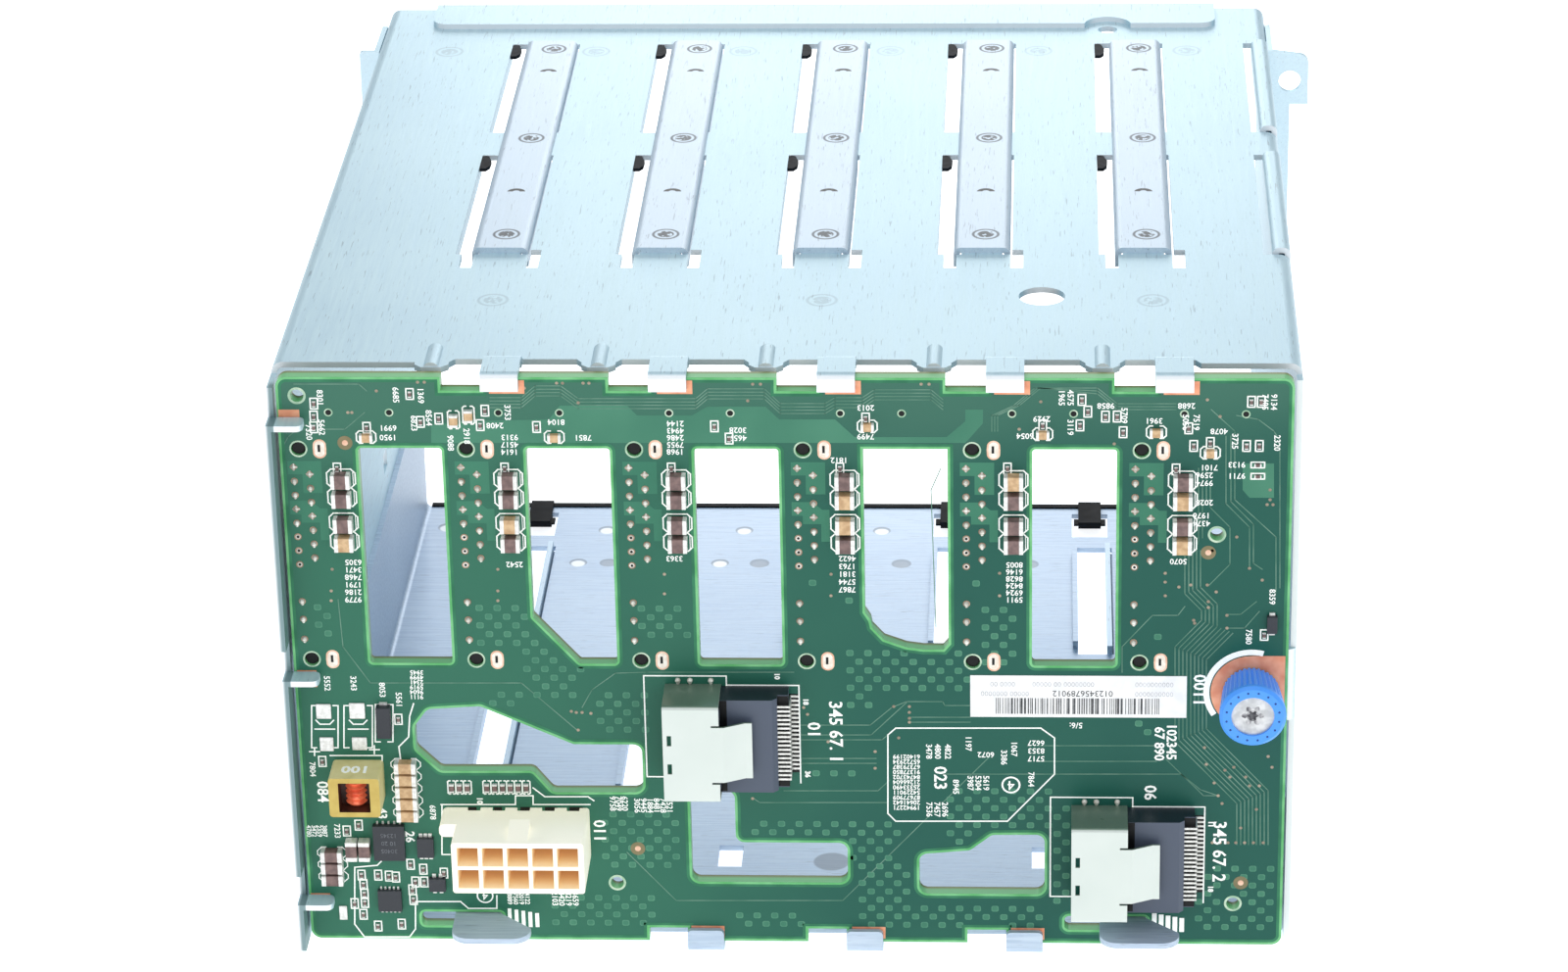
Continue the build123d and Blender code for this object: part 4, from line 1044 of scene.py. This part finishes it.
# The moulding's up-facing faces are painted darker and greener, a painted reflection of the board.
slate_moulding = finish(
    "slate_moulding", (74, 82, 104), 0.45, 0.0,
    lambda point: {
        "Base Color": upward(point).blend((76, 86, 104), (30, 44, 52)),
        "Normal": point.noise(2500.0, 2.0).bump(0.2, 0.00005)})
tail_tin = mottled("tail_tin", (214, 214, 208), (248, 248, 244), 0.3, 0.4, 1500.0)
for letter in "ab":
    coat(nickel, f"sas_port_{letter}_shell")
    coat(slate_moulding, f"sas_port_{letter}_body")
    coat(tail_tin, f"sas_port_{letter}_contacts")
port_joints = bmesh.new()
port_feet = bmesh.new()
port_shadows = bmesh.new()
for left, middle in port_places:
    # Painted shadows: the dark gaps between shell and moulding beside the latch, behind the tails, and on the
    # board under them.
    add_block(port_shadows, (left + 10.0, middle + 6.1), (1.2, 5.0), 5.25, 5.33)
    add_block(port_shadows, (left + 9.9, middle - 7.0), (1.0, 2.8), 5.25, 5.33)
    add_block(port_shadows, (left + 19.85, middle), (1.84, 17.0), 3.2, 3.33)
    add_block(port_shadows, (left + 21.5, middle - 0.2), (1.5, 14.8), 0, 0.03)
    for x in (2.2, 4.2, 7.7):
        add_drop(port_joints, left + x, middle + 9.7, 0.5)
    for tail in range(17):
        z = middle + (8 - tail) * 0.8
        add_block(port_feet, (left + 21.4, z + 0.4), (0.9, 0.4), 0, 0.12)
keep(port_joints, "port_ground_joints", solder, smooth=True)
keep(port_feet, "port_second_row", tail_tin)
keep(port_shadows, "port_painted_shadows", peg_black_and_shade)


# Power header. Ten-way housing moulded in ivory nylon over square tinned pins. Light passing through the
# nylon is painted: a faint painted glow on the housing, and painted amber with a painted glow in the cell
# walls.
def ivory(point):
    """Warmer towards the foot of the housing."""
    return {
        "Base Color": point.beyond(-9.0).between(0.0, 8.0).blend((255, 252, 240), (252, 246, 224)),
        "Normal": point.noise(1800.0, 2.0).bump(0.06, 0.00005)}


# The housing's emission is a painted glow.
ivory_nylon = finish(
    "ivory_nylon", (250, 244, 222), 0.42, 0.0, ivory,
    **{"Emission Color": (1.0, 0.93, 0.76, 1), "Emission Strength": 0.3})
coat(ivory_nylon, "power_header_housing")
coat(tail_tin, "power_header_pins")
cell_pitch = 4.2
liner_size = 3.51
liner_floor = 3.0
liner_mouth = 12.45
header_middle = (34.4, -71.475)
# The cell walls are painted amber deeper in, with a painted glow, for light passing through the nylon.
backlit_amber_nylon = finish("backlit_amber_nylon", (236, 190, 110), 0.5, 0.0, lambda point: {
    "Base Color": point.beyond(-12.4).between(0.0, 6.5).blend((255, 240, 206), (236, 186, 116))},
    **{"Emission Color": (1.0, 0.74, 0.42, 1), "Emission Strength": 0.1})
liners = bmesh.new()


def add_open_box(mesh, centre, size, low, high):
    """Block on the board's face without its side towards the camera."""
    before = set(mesh.faces)
    add_block(mesh, centre, size, low, high)
    mouths = [
        face for face in mesh.faces if face not in before
        and face.calc_center_median().y < at(0, 0, high - 0.1).y
    ]
    bmesh.ops.delete(mesh, geom=mouths, context="FACES")


for column in range(5):
    for row in range(2):
        centre = (header_middle[0] + (column - 2) * cell_pitch, header_middle[1] + (0.5 - row) * cell_pitch)
        add_open_box(liners, centre, (liner_size, liner_size), liner_floor, liner_mouth)
keep(liners, "header_cell_walls", backlit_amber_nylon)
# Painted shade: five dark patches on the board by the header's vents.
vent_shade_patches = bmesh.new()
vent_top = 823.6
vent_foot = 828
vent_sides = ((478, 486.5), (504, 512.5), (531, 541), (556, 569), (581, 595))
for start, end in vent_sides:
    add_patch(vent_shade_patches, (start, vent_top), (end, vent_foot), 0, 0.05)
keep(vent_shade_patches, "header_vent_painted_shade", peg_black_and_shade)


# Thumbscrew. A zinc-plated screw moulded into a fluted blue nylon knob, captive in a turned ferrule. A
# six-lobed driver recess is drawn flat on its head in painted shade with painted glints, moulded dots ring
# the knob's face, and the knob's emission is a painted glow.
def knob_blue(point):
    """Paler on the face, darker on the fluted side."""
    front = point.beyond(0.0).between(-13.4, -12.4)
    return {"Base Color": front.blend((86, 162, 230), (70, 148, 242)),
            "Normal": point.noise(2200.0, 2.0).bump(0.08, 0.00005)}


# The emission is a painted glow that brightens the blue.
blue_nylon = finish(
    "blue_nylon", (46, 124, 224), 0.4, 0.0, knob_blue,
    **{"Emission Color": (0.06, 0.32, 0.9, 1), "Emission Strength": 0.16})
screw_steel = mottled("screw_steel", (188, 190, 192), (222, 223, 224), 0.34, 0.4, 700.0)
coat(blue_nylon, "thumbscrew_knob")
coat(screw_steel, "thumbscrew_screw", "thumbscrew_ferrule")
coat(peg_black_and_shade, "retaining_washer")
head_height = (first_hole.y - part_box("thumbscrew_screw")[0].y) / MM
knob_height = (first_hole.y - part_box("thumbscrew_knob")[0].y) / MM
lobes = 6
recess = bmesh.new()


def add_star(middle_reach, wave, height):
    """Flat six-lobed outline over the screw's head."""
    around = [2 * pi * step / (lobes * 6) for step in range(lobes * 6)]
    reaches = [middle_reach + wave * cos(lobes * angle) for angle in around]
    recess.faces.new(
        [
            recess.verts.new(
                at(screw_x + reach * cos(angle), screw_z + reach * sin(angle), head_height + height)
            ) for angle, reach in zip(around, reaches)])


# The recess is painted flat on the head: painted shade in grey, and darker painted shade on its floor.
add_star(1.55, 0.38, 0.012)
keep(
    recess, "driver_recess", mottled("recess_shade", (96, 96, 102), (206, 206, 208), 0.3, 0.5, 900.0),
    body="thumbscrew")
recess = bmesh.new()
add_star(0.8, 0.18, 0.03)
keep(
    recess, "recess_floor", mottled("recess_floor_shade", (50, 50, 56), (96, 96, 100), 0.4, 0.5, 1500.0),
    body="thumbscrew")
# Painted glints on the recess's lobes.
recess_glints = bmesh.new()
for lobe in range(lobes):
    angle = 2 * pi * (lobe + 0.5) / lobes
    centre = (screw_x + 1.2 * cos(angle), screw_z + 1.2 * sin(angle))
    add_block(recess_glints, centre, (0.42, 0.5), head_height + 0.01, head_height + 0.04, angle)
keep(recess_glints, "recess_glints", screw_steel, body="thumbscrew")
dots = bmesh.new()
dot_count = 16
dot_radius = 0.26
dot_ring = 4.4
dot_sink = 0.14
for dot in range(dot_count):
    angle = 2 * pi * (dot + 0.5) / dot_count
    dome = bmesh.ops.create_uvsphere(dots, u_segments=8, v_segments=4, radius=dot_radius * MM)["verts"]
    place = at(screw_x + dot_ring * cos(angle), screw_z + dot_ring * sin(angle), knob_height - dot_sink)
    bmesh.ops.translate(dots, vec=place, verts=dome)
keep(dots, "knob_dots", mottled("dot_blue", (14, 62, 136), (24, 78, 156), 0.5),
     body="thumbscrew", smooth=True)


# Inductor. A pressed, olive lacquered core round a winding of enamelled copper. The core's sides and the
# inside of its window carry painted shade, and the winding a painted glow.
# Painted shade: the core's faces that do not look along -Y are painted darker.
olive_core = finish("olive_core", (240, 226, 160), 0.38, 0.0, lambda point: {
    "Base Color": (0 - point.facing(1)).between(0.5, 0.9).blend(
        point.noise(500.0, 2.0).blend((222, 206, 132), (254, 242, 186)),
        point.noise(500.0, 2.0).blend((190, 160, 70), (218, 194, 104)))})
# The winding's emission is a painted glow.
copper_wire = mottled(
    "copper_wire", (196, 60, 40), (250, 140, 100), 0.2, 0.3, 600.0,
    **{"Emission Color": (0.8, 0.16, 0.07, 1), "Emission Strength": 0.3})
coat(olive_core, "inductor_core")
coat(copper_wire, "inductor_coil")
core_low, core_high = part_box("inductor_core")
coil_low, coil_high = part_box("inductor_coil")
window_middle = (coil_low + coil_high) / 2 - first_hole
window_size = (5.26, 5.46)
window_floor = 3.83
window_mouth = 6.79
# A dark open box inside the window is painted shade round the winding.
window = bmesh.new()
add_open_box(window, (window_middle.x / MM, window_middle.z / MM), window_size, window_floor, window_mouth)
keep(window, "inductor_window_painted_shade", mottled("window_shade_brown", (46, 26, 20), (84, 44, 30), 0.5))
core_mark = bmesh.new()
add_number(core_mark, "100", (0, 0), 2.4, 0, bold=0.09)
top_turn = Matrix.Rotation(pi, 4, "Z") @ Matrix.Rotation(-pi / 2, 4, "X") @ Matrix.Translation(-at(0, 0))
core_middle = (core_low + core_high) / 2
bmesh.ops.transform(
    core_mark, matrix=Matrix.Translation((core_middle.x, core_middle.y, core_high.z)) @ top_turn,
    verts=core_mark.verts)
keep(core_mark, "inductor_number", ink)


# Chips and diodes. Black moulded packages with tinned leads along their sides, soldered to the board
# beside a few bare tinned pads that carry nothing.
chip_black = finish(
    "chip_black", (44, 48, 56), 0.5, 0.0,
    lambda point: {"Normal": point.noise(2600.0, 2.0).bump(0.25, 0.00005)})
coat(chip_black, "control_chips")
small_diode_pixel = (1298, 636)
diode_places = [(11.55, -50.0, 2.4, 5.8, 1.6), (*seen(small_diode_pixel), 1.7, 3.1, 1.0)]
diodes = bmesh.new()
for x, z, width, tall, height in diode_places:
    ease(diodes, add_block(diodes, (x, z), (width, tall), 0, height), 0.12, 2)
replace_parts(keep(diodes, "moulded_diodes", chip_black), "diodes")
chip_places = [
    (11.26, -73.2, 5.3, 6.6, 5), (17.4, -74.2, 2.8, 3.6, 3), (10.8, -84.6, 4.0, 4.0, 5),
    (19.1, -81.4, 2.8, 2.4, 2)
]
for x, z, width, tall, count in chip_places:
    lead = 0.32 if count > 3 else 0.62
    for index in range(count):
        along = x + (index - (count - 1) / 2) * width / (count + 0.5)
        for side in (-1, 1):
            add_block(tin_ends, (along, z + side * (tall / 2 + 0.2)), (lead, 0.3 + lead), 0, 0.22)
for x, z, width, tall, height in diode_places:
    for side in (-1, 1):
        add_block(tin_ends, (x, z + side * (tall / 2 + 0.1)), (0.55 * width, 0.7), 0, 0.45)
upright_end = ((384, 719.5), (398, 730))
ease(tin_ends, add_patch(tin_ends, *upright_end, 0, 1.3), 0.1, 1)
bare_pads = [
    ((322, 718), (338.5, 733)), ((326, 752), (341, 766)), ((356, 717), (373, 733)),
    ((359, 752), (375, 765)), ((346, 924), (355, 938)),
]
for pixel, opposite in bare_pads:
    ease(tin_ends, add_patch(tin_ends, pixel, opposite, 0, 0.3), 0.12, 2)
keep(tin_ends, "tinned_ends", end_tin)
chip_top = (first_hole.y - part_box("control_chips")[0].y) / MM
chip_rows = ((-71.6, "12345"), (-73.1, "10 20"), (-74.6, "30405"))
chip_print = bmesh.new()
for z, text in chip_rows:
    add_number(chip_print, text, (chip_places[0][0], z), 0.85, 180, chip_top + 0.005, 0.0)
keep(
    chip_print, "chip_numbers", mottled("chip_grey", (92, 96, 104), (112, 116, 124), 0.6, 0.0, 900.0))


# Label. A white polyester label with a printed bar pattern and plain grey print lines.
label_white = mottled("label_white", (242, 243, 244), (255, 255, 255), 0.5, 0.0, 400.0)
print_dark = mottled("print_dark", (50, 52, 56), (90, 92, 96), 0.6, 0.0, 900.0)
print_faint = mottled("print_faint", (188, 190, 194), (214, 216, 220), 0.6, 0.0, 900.0)
label = bmesh.new()
label_corner_pixels = ((990, 689), (1210.5, 732.3))
(label_left, label_top), (label_right, label_bottom) = map(seen, label_corner_pixels)
label_width = label_right - label_left
label_tall = label_top - label_bottom
add_patch(label, *label_corner_pixels, 0, 0.12)
keep(label, "label_sheet", label_white)
bars = bmesh.new()
x = label_left + 0.12 * label_width
while x < label_left + 0.88 * label_width:
    width = random.choice((0.12, 0.12, 0.2, 0.34))
    add_block(bars, (x, label_bottom + 0.27 * label_tall), (width, 0.38 * label_tall), 0.12, 0.14)
    x += width + random.choice((0.16, 0.22, 0.34))
add_number(
    bars, "0123456789012", (label_left + 0.52 * label_width, label_bottom + 0.58 * label_tall), 1.15, 180,
    0.13, 0.0)
keep(bars, "label_print", print_dark)
faint_lines = bmesh.new()
faint_rows = (
    (0.15, 0.8, "0000 00"), (0.43, 0.8, "00000000 00 00000"), (0.85, 0.8, "0000000000"),
    (0.16, 0.57, "00000 0000000"), (0.85, 0.57, "0000000000"),
)
for across, rise, text in faint_rows:
    add_number(
        faint_lines, text, (label_left + across * label_width, label_bottom + rise * label_tall), 0.95, 180,
        0.13, 0.0)
keep(faint_lines, "label_faint_print", print_faint)


# Front strip. Black extruded plastic with snap clips, pushed over the floor's front edge.
coat(
    finish(
        "strip_black", (16, 18, 22), 0.6, 0.0,
        lambda point: {"Roughness": point.noise(300.0, 2.0) * 0.2 + 0.55}, **{"Specular IOR Level": 0.1}),
    "front_trim_strip")


# Table and light. A glowing white table, large soft lights in front and above and one that shines in
# through the open drive end, as in a product photograph.
table_mesh = bmesh.new()
bmesh.ops.create_grid(table_mesh, x_segments=1, y_segments=1, size=3.0)
table_data = bpy.data.meshes.new("table")
table_mesh.to_mesh(table_data)
table_mesh.free()
table = bpy.data.objects.new("table", table_data)
table.location.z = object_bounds()[0][2] - 0.0002
table_data.materials.append(finish(
    "table_white", (243, 243, 243), 0.7, 0.0,
    lambda point: {"Base Color": point.noise(3.0, 2.0).blend((241, 242, 243), (246, 246, 246))},
    **{"Emission Color": (1, 1, 1, 1), "Emission Strength": 0.85}))
bpy.context.scene.collection.objects.link(table)

world = bpy.data.worlds.new("surround")
world.use_nodes = True
world.node_tree.nodes["Background"].inputs["Color"].default_value = (0.93, 0.965, 1.0, 1)
world.node_tree.nodes["Background"].inputs["Strength"].default_value = 0.6
bpy.context.scene.world = world


def add_light(name, place, aim, size, power, colour=(1, 1, 1)):
    """Square soft light."""
    lamp = bpy.data.lights.new(name, "AREA")
    lamp.size = size
    lamp.energy = power
    lamp.color = colour
    holder = bpy.data.objects.new(name, lamp)
    holder.location = place
    holder.rotation_euler = (Vector(aim) - Vector(place)).to_track_quat("-Z", "Y").to_euler()
    holder.visible_camera = False
    bpy.context.scene.collection.objects.link(holder)


add_light("key", (-0.2, -0.8, 1.1), (0, 0, 0.05), 0.9, 2.6)
add_light("fill", (0.9, -0.9, 0.6), (0, 0, 0.05), 0.8, 1.0)
add_light("inside", (0.0, 0.5, 0.22), (0, -0.02, 0.02), 0.3, 0.8)
bpy.context.scene.view_settings.view_transform = "Standard"
